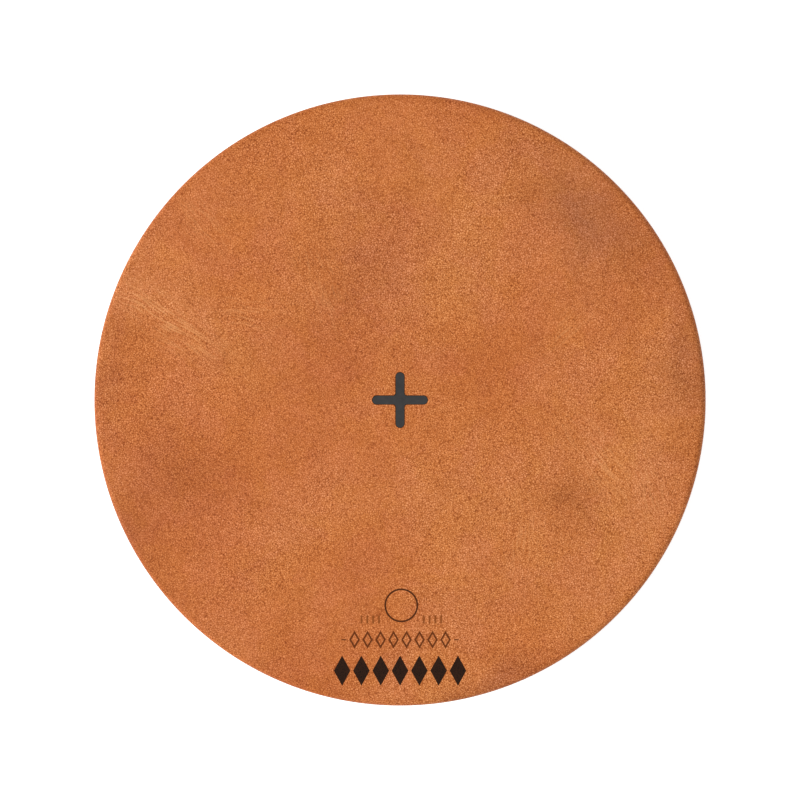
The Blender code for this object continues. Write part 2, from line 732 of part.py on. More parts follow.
def aim_outwards(obj, radius):
    """Lays an upright turned piece along the LED's line, with its own origin at that radius."""
    x, y = polar(radius, PIPE_ANGLE)
    obj.location = (x, y, SOCKET_LEVEL)
    obj.rotation_euler = (0.0, math.radians(90), math.radians(PIPE_ANGLE))


def light_pipe():
    """Clear pipe that carries the LED's light out through the side."""
    length = PIPE_END - PIPE_START
    flange = PIPE_FLANGE_END - PIPE_START
    profile = [(0.0, length), (PIPE_RADIUS, length), (PIPE_RADIUS, flange), (PIPE_FLANGE, flange)]
    profile += [(PIPE_FLANGE, 0.0), (0.0, 0.0)]
    pipe = turned("light_pipe", profile, steps=SMALL_STEPS)
    aim_outwards(pipe, PIPE_START)
    return file_away(pipe, pad, clear_plastic)


def thermal_pad():
    """Soft pad that carries the power stage's heat from the board into the base shell."""
    height = BOARD_BOTTOM - FLOOR_TOP - 2 * 0.08 * MM
    centre = (0.0, 36.2 * MM, (BOARD_BOTTOM + FLOOR_TOP) / 2)
    return file_away(block("thermal_pad", (22.0 * MM, 7.0 * MM, height), centre), pad, gap_filler)


# ================================================================ the pad
clear_scene()
pad = new_collection("wireless_charging_pad")
tools = new_collection("cutters")

leather = make_material("tan_leather", (0.58, 0.19, 0.06), 0.55)
clear_film = make_material("glue_film", (0.75, 0.72, 0.62), 0.4)
case_plastic = make_material("charcoal_plastic", (0.035, 0.036, 0.038), 0.6)
dark_silicone = make_material("dark_silicone", (0.05, 0.055, 0.06), 0.8)
copper_wire = make_material("copper_litz", (0.72, 0.30, 0.14), 0.35, 1.0)
ferrite = make_material("ferrite", (0.05, 0.05, 0.055), 0.5)
amber_tape = make_material("amber_tape", (0.65, 0.30, 0.04), 0.3)
foam = make_material("grey_foam", (0.10, 0.10, 0.11), 0.95)
solder_mask = make_material("green_solder_mask", (0.02, 0.13, 0.06), 0.35)
zinc_steel = make_material("zinc_plated_steel", (0.62, 0.62, 0.60), 0.35, 1.0)
stainless = make_material("stainless_steel", (0.70, 0.70, 0.69), 0.25, 1.0)
black_epoxy = make_material("black_epoxy", (0.02, 0.02, 0.022), 0.5)
red_insulation = make_material("red_insulation", (0.45, 0.03, 0.02), 0.5)
tan_ceramic = make_material("tan_ceramic", (0.42, 0.27, 0.16), 0.4)
white_lens = make_material("white_lens", (0.85, 0.85, 0.80), 0.3)
clear_plastic = make_material("clear_plastic", (0.80, 0.82, 0.82), 0.15)
gap_filler = make_material("gap_filler", (0.45, 0.55, 0.68), 0.85)

leather_cover()
centre_mark()
glue_film()
lid()
base_shell()
foot_ring()
case_screws()
coil_tape()
charging_coil()
ferrite_disc()
coil_foam()
thermistor()
main_board()
board_screws()
usb_socket()
components()
status_led()
light_pipe()
thermal_pad()
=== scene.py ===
# %% [markdown]
# # A leather-topped wireless charging pad
#
# This notebook dresses a finished model of a round charging pad. The model, called the frame here, already
# has the right pieces in the right places. What it lacks is the surface: the grain of the leather, the soft
# moulded edges of the plastic, the gold in the socket. We make those one piece at a time, and each new piece
# takes the place of the plain one.

# %% Open the frame
import math

import bmesh
import bpy
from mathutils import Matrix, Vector


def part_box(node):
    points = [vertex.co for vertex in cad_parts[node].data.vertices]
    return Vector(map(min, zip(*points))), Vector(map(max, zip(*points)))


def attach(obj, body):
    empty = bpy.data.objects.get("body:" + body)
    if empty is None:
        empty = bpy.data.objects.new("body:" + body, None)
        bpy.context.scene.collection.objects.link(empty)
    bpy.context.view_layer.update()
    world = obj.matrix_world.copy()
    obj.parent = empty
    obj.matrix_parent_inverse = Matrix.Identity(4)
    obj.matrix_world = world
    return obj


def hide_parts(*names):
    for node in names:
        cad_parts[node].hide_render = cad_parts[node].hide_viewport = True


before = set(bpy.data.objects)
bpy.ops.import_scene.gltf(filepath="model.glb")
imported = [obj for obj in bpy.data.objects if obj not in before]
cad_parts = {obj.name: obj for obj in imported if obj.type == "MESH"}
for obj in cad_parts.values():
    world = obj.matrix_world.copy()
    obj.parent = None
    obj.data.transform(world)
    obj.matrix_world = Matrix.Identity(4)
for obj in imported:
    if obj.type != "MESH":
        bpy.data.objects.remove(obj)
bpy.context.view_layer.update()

# %% [markdown]
# ## Sizes
#
# Blender works in metres, and a charging pad is easier to think about in millimetres, so every length below
# is a number times MM. Places are read from the frame instead of typed in, so that a new piece always lands
# where the old one was.

# %% Sizes from the frame
MM = 0.001

cover_low, cover_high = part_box("leather_cover")
base_low, base_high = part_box("base_shell")
foot_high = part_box("foot_ring")[1]
mark_low, mark_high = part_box("centre_mark")
socket_low, socket_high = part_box("usb_shell")

pad_radius = cover_high.x
pad_top = cover_high.z
leather_edge = cover_low.z
base_radius = base_high.x
socket_level = (socket_low.z + socket_high.z) / 2
print(f"pad {2 * pad_radius / MM:.1f} mm across and {pad_top / MM:.1f} mm high")

# %% [markdown]
# ## Small tools
#
# Operators act on whatever is selected, so each piece starts with nothing selected. The four helpers here
# start a piece, open it in edit mode, pick some of its parts by a test on their place, and finish it: its
# turn and scale go into the mesh, it joins the pad's body, and it takes a plain piece's place.


# %% Start, open, pick and finish
def deselect():
    if bpy.context.mode != "OBJECT":
        bpy.ops.object.mode_set(mode="OBJECT")
    bpy.ops.object.select_all(action="DESELECT")


def open_mesh(obj, mode="EDGE"):
    """Opens a piece in edit mode with nothing in it selected."""
    deselect()
    bpy.context.view_layer.objects.active = obj
    obj.select_set(True)
    bpy.ops.object.mode_set(mode="EDIT")
    bpy.ops.mesh.select_mode(type=mode)
    bpy.ops.mesh.select_all(action="DESELECT")


def pick(obj, test, kind="faces"):
    """Selects the faces or edges of the open mesh whose middle and normal pass the test."""
    mesh = bmesh.from_edit_mesh(obj.data)
    count = 0
    for part in getattr(mesh, kind):
        if kind == "faces":
            middle, normal = part.calc_center_median(), part.normal
        else:
            middle = (part.verts[0].co + part.verts[1].co) / 2
            normal = part.verts[0].co - part.verts[1].co
        chosen = test(middle, normal)
        part.select_set(chosen)
        count += chosen
    if kind == "edges":
        mesh.select_flush_mode()
    bmesh.update_edit_mesh(obj.data)
    return count


def flat_radius(place):
    return math.hypot(place.x, place.y)


def use(obj, kind, apply=True, **settings):
    """Adds a modifier with its settings and applies it."""
    modifier = obj.modifiers.new(kind.title(), kind)
    for name, value in settings.items():
        setattr(modifier, name, value)
    if apply:
        deselect()
        bpy.context.view_layer.objects.active = obj
        obj.select_set(True)
        bpy.ops.object.modifier_apply(modifier=modifier.name)
    return modifier


def finish(obj, name, material, slot, *nodes, angle=35):
    """Names and places a finished piece, and lets it stand for the plain nodes."""
    deselect()
    obj.name = obj.data.name = name
    bpy.context.view_layer.objects.active = obj
    obj.select_set(True)
    bpy.ops.object.transform_apply(location=True, rotation=True, scale=True)
    bpy.ops.object.shade_smooth_by_angle(angle=math.radians(angle))
    obj.data.materials.clear()
    obj.data.materials.append(material)
    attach(obj, "root")
    if nodes:
        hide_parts(*nodes)
    print(f"{name}: {len(obj.data.polygons)} faces")
    return obj


# %% [markdown]
# ## Materials
#
# A material is a small graph of nodes. One helper adds a node, sets it up and plugs it in, and another turns
# the hex colours that people read off a swatch into the linear values that a renderer adds and multiplies.


# %% Colour and nodes
def linear(code):
    """The linear colour of an sRGB hex value."""
    values = [int(code[i : i + 2], 16) / 255 for i in (1, 3, 5)]
    return tuple(v / 12.92 if v <= 0.04045 else ((v + 0.055) / 1.055) ** 2.4 for v in values) + (1.0,)


def set_inputs(tree, node, inputs):
    """Gives a node's inputs a value each, or plugs another node into them by its first output."""
    for name, value in inputs.items():
        if isinstance(value, bpy.types.Node):
            value = value.outputs[0]
        if isinstance(value, bpy.types.NodeSocket):
            tree.links.new(value, node.inputs[name])
        else:
            node.inputs[name].default_value = value


def add_node(tree, kind, inputs=None, stops=None, **settings):
    """Adds one node, with its settings, its inputs and the stops of its colour ramp."""
    made = tree.nodes.new(kind)
    for name, value in settings.items():
        setattr(made, name, value)
    set_inputs(tree, made, inputs or {})
    if stops:
        ramp = made.color_ramp.elements
        while len(ramp) < len(stops):
            ramp.new(0.5)
        for element, (position, colour) in zip(ramp, stops):
            element.position = position
            element.color = colour if isinstance(colour, tuple) else linear(colour)
    return made


def start_material(name, code, roughness, **inputs):
    """A Principled material with its even values set. Returns the material, its tree, shader and place."""
    material = bpy.data.materials.new(name)
    material.use_nodes = True
    tree = material.node_tree
    shader = tree.nodes["Principled BSDF"]
    even = {"Base Color": linear(code), "Roughness": roughness}
    set_inputs(tree, shader, even | {key.replace("_", " "): value for key, value in inputs.items()})
    print(f"material {name}")
    return material, tree, shader, add_node(tree, "ShaderNodeTexCoord").outputs["Object"]


# %% [markdown]
# ## The leather
#
# The top is smooth bonded leather, dyed cognac and lightly pressed. Three things give it away. The dye takes
# unevenly, so there are slow patches of lighter orange and darker red brown a few centimetres across. The
# grain is a net of creases a third of a millimetre apart, broken up by a felt of tiny strokes that run one
# way here and another way there. And where the hide has been flexed, fine pale lines lie side by side. An
# image could hold all this, but nodes stay sharp however near the camera comes.

# %% Sizes in the hide
PEBBLE = 0.33 * MM  # from crease to crease
PEBBLE_SHARE = 0.55  # of the height; the strokes make the rest
STROKE = (0.32 * MM, 0.16 * MM, 0.16 * MM)  # length, width and width of a stroke in the felt
STROKE_TURNS = (70, -25)  # degrees
SWIRL = 2.4 * MM  # over which the strokes change direction
WARP, CURL = 1.6 * MM, 0.5 * MM  # size of the noise that bends the grain, and how far it bends it
GRAIN_DEPTH = 0.045 * MM
STREAK = (4.5 * MM, 0.32 * MM, 0.32 * MM)  # length of a pale line, and from one line to the next
SWAY, BEND = 7.0 * MM, 3.0 * MM  # over which the lines wander, and how far
PATCH, MOTTLE, UPTAKE = 26.0 * MM, 5.0 * MM, 6.5 * MM  # clouds of dye, from slow to fine
FRAY, RAGGED = 9.0 * MM, 14.0 * MM  # over which the edges of a dye patch wander, and how far
PRESSED = 17.0 * MM  # over which the grain is pressed more and less
SHADED_RIM = 1.6 * MM  # width of the turned edge that is darkened as painted shade
print(f"creases {PEBBLE / MM:.2f} mm apart, pale lines {STREAK[1] / MM:.2f} mm apart")

# %% [markdown]
# Every hide takes its dye and its folds in other places, so this one's are listed. Each has a middle, a
# direction in degrees, a reach along and across it, and a strength. Lengths in these lists are millimetres.

# %% Places on this hide
DYE_PATCHES = (
    ("reddish, near the left edge", (-37, -13), 0, (17, 13), "#984A26", 0.42),
    ("reddish, down the lower left edge", (-45, -22), -62, (22, 9), "#954822", 0.45),
    ("reddish, up the left edge", (-47, 6), 85, (18, 9), "#A2501F", 0.50),
    ("reddish, above the middle", (-6, 20), 60, (28, 19), "#A8562E", 0.50),
    ("brown, at the upper right", (31, 30), -48, (30, 14), "#87553A", 0.42),
    ("reddish brown, at the right edge", (47, 6), 88, (26, 9), "#98522E", 0.45),
    ("reddish, right of the middle", (28, -18), 0, (10, 10), "#9A5028", 0.45),
    ("reddish brown, at the front edge", (15, -47), 18, (20, 7), "#9A552F", 0.45),
    ("light, beside the flexed left", (-29, 9), -32, (28, 8), "#D0854A", 0.28),
    ("light, in front of the middle", (-5, -18), 0, (18, 12), "#CE7B3F", 0.35),
)
FLEXED = (
    ((-38, 13), -33, (19, 6), 0.8),
    ((-25, 14), -4, (15, 6), 0.3),
    ((-13, 19), -70, (15, 7), 0.3),
    ((-32, 29), -52, (12, 5), 0.35),
    ((33, -10), -52, (20, 9), 0.4),
    ((41, -15), -74, (20, 8), 0.35),
    ((27, 11), 48, (13, 5), 0.3),
    ((20, -23), 88, (14, 9), 0.3),
)
print(f"{len(DYE_PATCHES)} patches of dye, {len(FLEXED)} flexed places")

# %% [markdown]
# Three things are needed again and again: an oval spot that fades outwards, strokes, which are noise drawn
# out along one direction, and a place that noise has pushed about, so that nothing drawn there looks ruled.


# %% Spots, strokes and wandering places
def soft_spot(tree, place, middle, reach, turn=0.0):
    """1 in the middle of an oval place on the leather, fading to 0 at its reach along and across."""
    centred = add_node(
        tree,
        "ShaderNodeMapping",
        {"Vector": place, "Location": [m * MM for m in middle] + [0], "Rotation": (0, 0, math.radians(turn))},
        vector_type="TEXTURE",
    )
    scale = [1 / (r * MM) for r in reach] + [0]
    sized = add_node(tree, "ShaderNodeMapping", {"Vector": centred, "Scale": scale})
    return add_node(tree, "ShaderNodeTexGradient", {"Vector": sized}, gradient_type="QUADRATIC_SPHERE")


def strokes(tree, place, turn, size):
    """Noise drawn out along one direction. The size is length, width and width."""
    drawn = add_node(
        tree,
        "ShaderNodeMapping",
        {"Vector": place, "Rotation": (0, 0, math.radians(turn)), "Scale": size},
        vector_type="TEXTURE",
    )
    return add_node(tree, "ShaderNodeTexNoise", {"Vector": drawn, "Scale": 1.0, "Detail": 1.0})


def wander(tree, place, size, reach, detail=1.0):
    """The place, pushed by noise of one size. The reach is how far, in X, Y and Z."""
    noise = add_node(tree, "ShaderNodeTexNoise", {"Vector": place, "Scale": 1 / size, "Detail": detail})
    inputs = {0: noise.outputs["Color"], 1: reach, 2: place}
    return add_node(tree, "ShaderNodeVectorMath", inputs, operation="MULTIPLY_ADD")


# %% [markdown]
# The creases are the borders between a Voronoi texture's cells. The felt is two sets of strokes that take
# turns. Together they give a height, from a crease at 0 to a ridge at 1, which the leather and the ink on it
# share.


# %% Grain
def grain_height(tree, place):
    """The leather's height, from 0 in a crease to 1 on a ridge."""
    curled = wander(tree, place, WARP, (CURL, CURL, CURL))
    swirl = add_node(tree, "ShaderNodeTexNoise", {"Vector": place, "Scale": 1 / SWIRL, "Detail": 1.0})
    share = add_node(tree, "ShaderNodeMapRange", {"Value": swirl, "From Min": 0.42, "From Max": 0.58})
    one_way, other_way = [strokes(tree, curled, turn, STROKE) for turn in STROKE_TURNS]
    felt = add_node(tree, "ShaderNodeMix", {0: share, 2: one_way, 3: other_way})
    felt = add_node(
        tree,
        "ShaderNodeMapRange",
        {"Value": felt, "From Min": 0.37, "From Max": 0.63, "To Max": 1 - PEBBLE_SHARE},
    )
    borders = add_node(
        tree,
        "ShaderNodeTexVoronoi",
        {"Vector": curled, "Scale": 1 / PEBBLE, "Randomness": 1.0},
        feature="DISTANCE_TO_EDGE",
    )
    pebbles = add_node(
        tree, "ShaderNodeMapRange", {"Value": borders, "From Max": 0.3, "To Max": PEBBLE_SHARE}
    )
    return add_node(tree, "ShaderNodeMath", {0: pebbles, 1: felt}, operation="ADD")


# %% [markdown]
# Flexing lifts the finish off in hair-thin lines. They are long strokes of which only the peaks are kept, and
# they show only inside the flexed places. Where two places meet, the stronger line wins.


# %% Flexed lines
def flexed_lines(tree, place):
    """How much of the finish is lifted: the strength of its place along a pale line, 0 elsewhere."""
    bent = wander(tree, place, SWAY, (BEND, BEND, 0))
    lifted = None
    for middle, turn, reach, strength in FLEXED:
        peaks = add_node(
            tree,
            "ShaderNodeMapRange",
            {
                "Value": strokes(tree, bent, turn, STREAK),
                "From Min": 0.5,
                "From Max": 0.64,
                "To Max": strength,
            },
        )
        spot = soft_spot(tree, place, middle, reach, turn)
        here = add_node(tree, "ShaderNodeMath", {0: peaks, 1: spot.outputs["Fac"]}, operation="MULTIPLY")
        if lifted is not None:
            here = add_node(tree, "ShaderNodeMath", {0: lifted, 1: here}, operation="MAXIMUM")
        lifted = here
    return lifted


# %% [markdown]
# Dye goes on in layers, and so does this colour: slow clouds first, then the hide's own patches with ragged
# edges, then a mottle and a drift between yellower and bluer, each multiplied onto what is there.


# %% Dye
def dye(tree, place):
    """The colour of the dyed hide before its grain."""
    clouds = add_node(
        tree, "ShaderNodeTexNoise", {"Vector": place, "Scale": 1 / PATCH, "Detail": 3.0, "Roughness": 0.6}
    )
    stops = [(0.32, "#BF6832"), (0.5, "#C57038"), (0.68, "#CA783E")]
    colour = add_node(tree, "ShaderNodeValToRGB", {"Fac": clouds}, stops=stops)

    spread = wander(tree, place, FRAY, (RAGGED, RAGGED, 0), detail=3.0)
    ragged = add_node(
        tree, "ShaderNodeVectorMath", {0: spread, 1: (RAGGED / 2, RAGGED / 2, 0)}, operation="SUBTRACT"
    )
    for _, middle, turn, reach, tint, strength in DYE_PATCHES:
        spot = soft_spot(tree, ragged, middle, reach, turn)
        share = add_node(tree, "ShaderNodeMath", {0: spot.outputs["Fac"], 1: strength}, operation="MULTIPLY")
        colour = add_node(
            tree, "ShaderNodeMixRGB", {"Fac": share, "Color1": colour, "Color2": linear(tint)}
        )

    for where, size, detail, roughness, stops in (
        (place, MOTTLE, 4.0, 0.65, [(0.3, (0.93, 0.91, 0.88, 1)), (0.7, (1.05, 1.07, 1.1, 1))]),
        (ragged, UPTAKE, 2.0, 0.5, [(0.38, (1.0, 1.01, 0.92, 1)), (0.62, (1.0, 0.985, 1.08, 1))]),
    ):
        noise = add_node(
            tree,
            "ShaderNodeTexNoise",
            {"Vector": where, "Scale": 1 / size, "Detail": detail, "Roughness": roughness},
        )
        veil = add_node(tree, "ShaderNodeValToRGB", {"Fac": noise}, stops=stops)
        colour = add_node(
            tree, "ShaderNodeMixRGB", {"Fac": 1.0, "Color1": colour, "Color2": veil}, blend_type="MULTIPLY"
        )
    return colour


# %% [markdown]
# On real leather one crease darkens the dye, dulls the finish and dents the face, so the grain's height
# drives the colour, the roughness and the bump together. The colour also carries painted shade in the
# creases and a painted highlight, lightened towards white, on the ridges.

# %% Leather
CREASE_DYE_AND_SHADE = (0.38, 0.22, 0.08, 1.0)  # darker dye and painted shade in a crease, for each of red, green and blue
EVEN_TINT = (1.0, 1.0, 1.0, 1.0)
# painted highlight: ridges are lightened towards white
RIDGE_HIGHLIGHT = (1.50, 2.00, 3.20, 1.0)
RIM_SHADE_TINT = (0.88, 0.83, 0.72, 1.0)  # painted shade: the turned edge is multiplied darker all round
LIFTED_FINISH = "#E29C63"


def make_leather():
    """Orange brown with darker red and browner clouds, fine grain, painted shade and highlights, and a low,
    broad sheen.
    """
    material, tree, shader, place = start_material(
        "cognac_bonded_leather", "#BA6A36", 0.58, IOR=1.5, Specular_IOR_Level=0.15
    )
    height, lifted = grain_height(tree, place), flexed_lines(tree, place)
    # The grain's colour: the hide's darker creases with painted shade in them, and painted highlights on the
    # ridges
    stops = [(0, CREASE_DYE_AND_SHADE), (0.5, EVEN_TINT), (1, RIDGE_HIGHLIGHT)]
    grain = add_node(tree, "ShaderNodeValToRGB", {"Fac": height}, stops=stops)
    pressed = add_node(tree, "ShaderNodeTexNoise", {"Vector": place, "Scale": 1 / PRESSED, "Detail": 2.0})
    depth = add_node(
        tree,
        "ShaderNodeMapRange",
        {"Value": pressed, "From Min": 0.4, "From Max": 0.6, "To Min": 0.8, "To Max": 1.0},
    )
    colour = add_node(
        tree,
        "ShaderNodeMixRGB",
        {"Fac": depth, "Color1": dye(tree, place), "Color2": grain},
        blend_type="MULTIPLY",
    )
    colour = add_node(
        tree, "ShaderNodeMixRGB", {"Fac": lifted, "Color1": colour, "Color2": linear(LIFTED_FINISH)}
    )
    flattened = add_node(tree, "ShaderNodeVectorMath", {0: place, 1: (1, 1, 0)}, operation="MULTIPLY")
    distance = add_node(tree, "ShaderNodeVectorMath", {0: flattened}, operation="LENGTH")
    # Painted shade: the colour is darkened across the turned edge, all the way round
    rim_shade = add_node(
        tree,
        "ShaderNodeMapRange",
        {"Value": distance.outputs["Value"], "From Min": pad_radius - SHADED_RIM, "From Max": pad_radius},
    )
    colour = add_node(
        tree,
        "ShaderNodeMixRGB",
        {"Fac": rim_shade, "Color1": colour, "Color2": RIM_SHADE_TINT},
        blend_type="MULTIPLY",
    )
    gloss = add_node(tree, "ShaderNodeMapRange", {"Value": height, "To Min": 0.68, "To Max": 0.5})
    relief = add_node(tree, "ShaderNodeMath", {0: lifted, 1: 0.8, 2: height}, operation="MULTIPLY_ADD")
    bump = add_node(tree, "ShaderNodeBump", {"Height": relief, "Distance": GRAIN_DEPTH, "Strength": 0.6})
    set_inputs(tree, shader, {"Base Color": colour, "Roughness": gloss, "Normal": bump})
    return material


leather = make_leather()

# %% [markdown]
# ## The cover's mesh
#
# The cover is a round blank of leather, pulled down over the lid. A disc made as a fan of triangles would
# pinch at its middle, where small waves in the surface would show. So we start from a square grid and ease
# its corners in until its rim is a circle, which keeps the faces about the same size everywhere. The rim is
# then extruded ring by ring round the edge, down the side, in under the leather and up to its back.


# %% Blank the disc
EDGE_ROUND = 1.0 * MM  # turned edge, seen from outside
THICKNESS = 1.0 * MM
LOWER_ROUND = 0.3 * MM
BACK_BEVEL = 0.4 * MM  # in the corner of the leather's back
GRID = 200

flat_reach = pad_radius - EDGE_ROUND
deselect()
bpy.ops.mesh.primitive_grid_add(
    x_subdivisions=GRID, y_subdivisions=GRID, size=2 * flat_reach, location=(0, 0, pad_top)
)
cover = bpy.context.object
bpy.ops.object.transform_apply(location=True, rotation=True, scale=True)
for vertex in cover.data.vertices:
    x, y = vertex.co.x / flat_reach, vertex.co.y / flat_reach
    vertex.co.x = flat_reach * x * math.sqrt(1 - y * y / 2)
    vertex.co.y = flat_reach * y * math.sqrt(1 - x * x / 2)
print(f"disc of {len(cover.data.polygons)} faces, {2 * flat_reach / MM:.0f} mm across")


# %% Turn the rim over the edge
def rim_profile():
    """Radius and height of each ring from the disc's rim round to the leather's back."""
    rings = []
    for i in range(1, 9):
        angle = math.radians(90 * i / 8)
        radius, height = EDGE_ROUND * math.sin(angle), EDGE_ROUND * math.cos(angle)
        rings.append((flat_reach + radius, pad_top - EDGE_ROUND + height))
    for i in range(4):
        angle = math.radians(90 * i / 3)
        radius, height = LOWER_ROUND * math.cos(angle), LOWER_ROUND * math.sin(angle)
        rings.append((pad_radius - LOWER_ROUND + radius, leather_edge + LOWER_ROUND - height))
    inside, back = pad_radius - THICKNESS, pad_top - THICKNESS
    return rings + [(inside, leather_edge), (inside, back - BACK_BEVEL), (inside - BACK_BEVEL, back)]


def extrude_rings(radius, height, rings):
    """Extrudes the selected rim through a list of rings, given as radius and height."""
    for next_radius, next_height in rings:
        bpy.ops.mesh.extrude_edges_move(TRANSFORM_OT_translate={"value": (0, 0, next_height - height)})
        grow = next_radius / radius
        bpy.ops.transform.resize(value=(grow, grow, 1), center_override=(0, 0, next_height))
        radius, height = next_radius, next_height


open_mesh(cover)
bpy.ops.mesh.select_non_manifold()
extrude_rings(flat_reach, pad_top, rim_profile())
bpy.ops.mesh.edge_face_add()
bpy.ops.mesh.select_all(action="SELECT")
bpy.ops.mesh.normals_make_consistent(inside=False)
deselect()
print(f"cover of {len(cover.data.polygons)} faces, {(pad_top - leather_edge) / MM:.1f} mm deep")

# %% [markdown]
# The blank is still as flat as glass. Two textures push its top up and down by a few hundredths of a
# millimetre: slow swells, as the glue line leaves, and a net of shallow folds. They are far too small to
# measure, yet they bend the light enough that the surface stops looking printed. A vertex group fades them
# out towards the rim, where the stretched hide lies tight.

# %% Let the hide breathe
TIGHT_RIM = 4.0 * MM
FLUSH = 0.001 * MM  # no two faces lie as close as this

loose = cover.vertex_groups.new(name="loose")
for vertex in cover.data.vertices:
    if vertex.co.z > pad_top - FLUSH:
        share = min(1.0, (flat_reach - flat_radius(vertex.co)) / TIGHT_RIM)
        loose.add([vertex.index], max(0.0, share), "REPLACE")
for name, kind, size, strength in (
    ("swells", "CLOUDS", 9.0 * MM, 0.07 * MM),
    ("folds", "MUSGRAVE", 2.6 * MM, 0.022 * MM),
):
    texture = bpy.data.textures.new(name, kind)
    texture.noise_scale = size
    if kind == "MUSGRAVE":
        texture.musgrave_type = "RIDGED_MULTIFRACTAL"
        texture.octaves = 2.0
    use(
        cover,
        "DISPLACE",
        texture=texture,
        texture_coords="LOCAL",
        direction="Z",
        strength=strength,
        mid_level=0.5,
        vertex_group="loose",
    )
    print(f"{name} over {size / MM:.1f} mm, {strength / MM:.3f} mm high")

# %% [markdown]
# ## The centring mark
#
# A plus of dark grey silicone lies in a pocket in the leather and shows where the phone's middle goes. It is
# modelled as a cutter would draw it: a square, each side extruded into an arm, the arm ends rounded by a
# vertex bevel. One drawing serves twice, a little larger to cut the pocket and at its own size for the plus.


# %% Draw the plus
MARK_STROKE = 1.4 * MM
MARK_FILLET = 0.4 * MM
MARK_SOFT = 0.12 * MM
POCKET_GAP = 0.08 * MM
ALMOST = 0.998  # two rounds that meet exactly would leave a doubled corner
TOUCH = 0.01 * MM  # closer than this counts as in the same place

mark_span = mark_high.x - mark_low.x


def plus_solid(span, stroke, low, high):
    """A plus with round arm ends, standing between two heights."""
    deselect()
    bpy.ops.mesh.primitive_plane_add(size=stroke, location=(0, 0, high))
    plus = bpy.context.object
    half, arm = stroke / 2, (span - stroke) / 2
    for x, y in ((1, 0), (0, 1), (-1, 0), (0, -1)):
        open_mesh(plus)
        pick(plus, lambda m, n: max(abs(m.x - x * half), abs(m.y - y * half)) < TOUCH, "edges")
        bpy.ops.mesh.extrude_edges_move(TRANSFORM_OT_translate={"value": (x * arm, y * arm, 0)})
    bpy.ops.mesh.select_all(action="SELECT")
    bpy.ops.mesh.dissolve_limited(angle_limit=math.radians(1))
    bpy.ops.mesh.normals_make_consistent(inside=False)
    for reach, inner in ((half * ALMOST, False), (MARK_FILLET, True)):
        open_mesh(plus, "VERT")
        mesh = bmesh.from_edit_mesh(plus.data)
        for vertex in mesh.verts:
            at_corner = max(abs(vertex.co.x), abs(vertex.co.y)) < half + TOUCH
            vertex.select_set(at_corner == inner)
        bmesh.update_edit_mesh(plus.data)
        bpy.ops.mesh.bevel(offset=reach, segments=12, affect="VERTICES")
    bpy.ops.mesh.select_all(action="SELECT")
    bpy.ops.mesh.extrude_region_move(TRANSFORM_OT_translate={"value": (0, 0, low - high)})
    bpy.ops.mesh.select_all(action="SELECT")
    bpy.ops.mesh.remove_doubles(threshold=0.002 * MM)
    bpy.ops.mesh.normals_make_consistent(inside=False)
    deselect()
    return plus


# %% Cut the pocket and lay the hide
CLEAR = 1.0 * MM  # how far a cutter stands past the face it opens

pocket = plus_solid(
    mark_span + 2 * POCKET_GAP,
    MARK_STROKE + 2 * POCKET_GAP,
    mark_low.z - POCKET_GAP,
    pad_top + CLEAR,
)
use(cover, "BOOLEAN", operation="DIFFERENCE", solver="EXACT", object=pocket)
bpy.data.objects.remove(pocket)
finish(cover, "leather_cover_hide", leather, "leather", "leather_cover", angle=50)

# %% [markdown]
# Much of a pad is moulded, cast or pressed. Such stuffs look alike in one way: slow noise of one size moves
# the colour, the gloss and a faint bump together. One recipe makes them all, and the mark's silicone is the
# first: dry, a little dusty, a dark grey that swallows light.


# %% Cast stuffs and the mark
def make_cast(name, dark, light, gloss, size, depth, **inputs):
    """A moulded, cast or pressed stuff: colour, gloss and surface vary together, over one size."""
    material, tree, shader, place = start_material(name, dark, gloss[0], **inputs)
    clouds = add_node(
        tree, "ShaderNodeTexNoise", {"Vector": place, "Scale": 1 / size, "Detail": 4.0, "Roughness": 0.65}
    )
    colour = add_node(tree, "ShaderNodeValToRGB", {"Fac": clouds}, stops=[(0.35, dark), (0.7, light)])
    sheen = add_node(tree, "ShaderNodeMapRange", {"Value": clouds, "To Min": gloss[0], "To Max": gloss[1]})
    bump = add_node(tree, "ShaderNodeBump", {"Height": clouds, "Distance": depth, "Strength": 0.5})
    set_inputs(tree, shader, {"Base Color": colour, "Roughness": sheen, "Normal": bump})
    return material


silicone = make_cast(
    "dark_grey_silicone", "#292828", "#353434", (0.55, 0.72), 1.5 * MM, 0.01 * MM, IOR=1.41
)
mark = plus_solid(mark_span, MARK_STROKE, mark_low.z, mark_high.z)
open_mesh(mark)
pick(mark, lambda m, n: m.z > mark_high.z - TOUCH, "edges")
bpy.ops.mesh.bevel(offset=MARK_SOFT, segments=3, affect="EDGES")
deselect()
finish(mark, "centre_mark_inlay", silicone, "silicone", "centre_mark")

# %% [markdown]
# ## The stamp near the front
#
# Pads like this one carry a small stamp near the front edge. Here it is a plain border of lozenges, which
# says nothing and belongs to nobody: a ring, a row of thin lozenges between two dashes, and a bold row. Ink
# from a stamp is a film that sinks into the grain. So each shape is drawn flat, cut into small faces,
# dropped onto the leather by a Shrinkwrap modifier and given a hair of thickness.

# %% Stamp sizes in millimetres
RING_MIDDLE, RING_RADIUS = (0.2, -33.5), 2.75
TICKS_LEVEL, TICK_SIZE, TICK_COUNT, TICK_GAP = -35.8, (0.28, 1.3), 4, 0.95
TICK_START = 0.9  # from the ring to the first tick
THIN_ROW, THIN_SIZE, THIN_COUNT, THIN_GAP = -39.1, (1.7, 2.9), 8, 2.12
DASH_SIZE, DASH_AT = (0.75, 0.18), 9.2
BOLD_ROW, BOLD_SIZE, BOLD_COUNT, BOLD_GAP = -44.15, (2.7, 4.9), 7, 3.15
print(f"stamp {THIN_COUNT} thin and {BOLD_COUNT} bold lozenges wide")

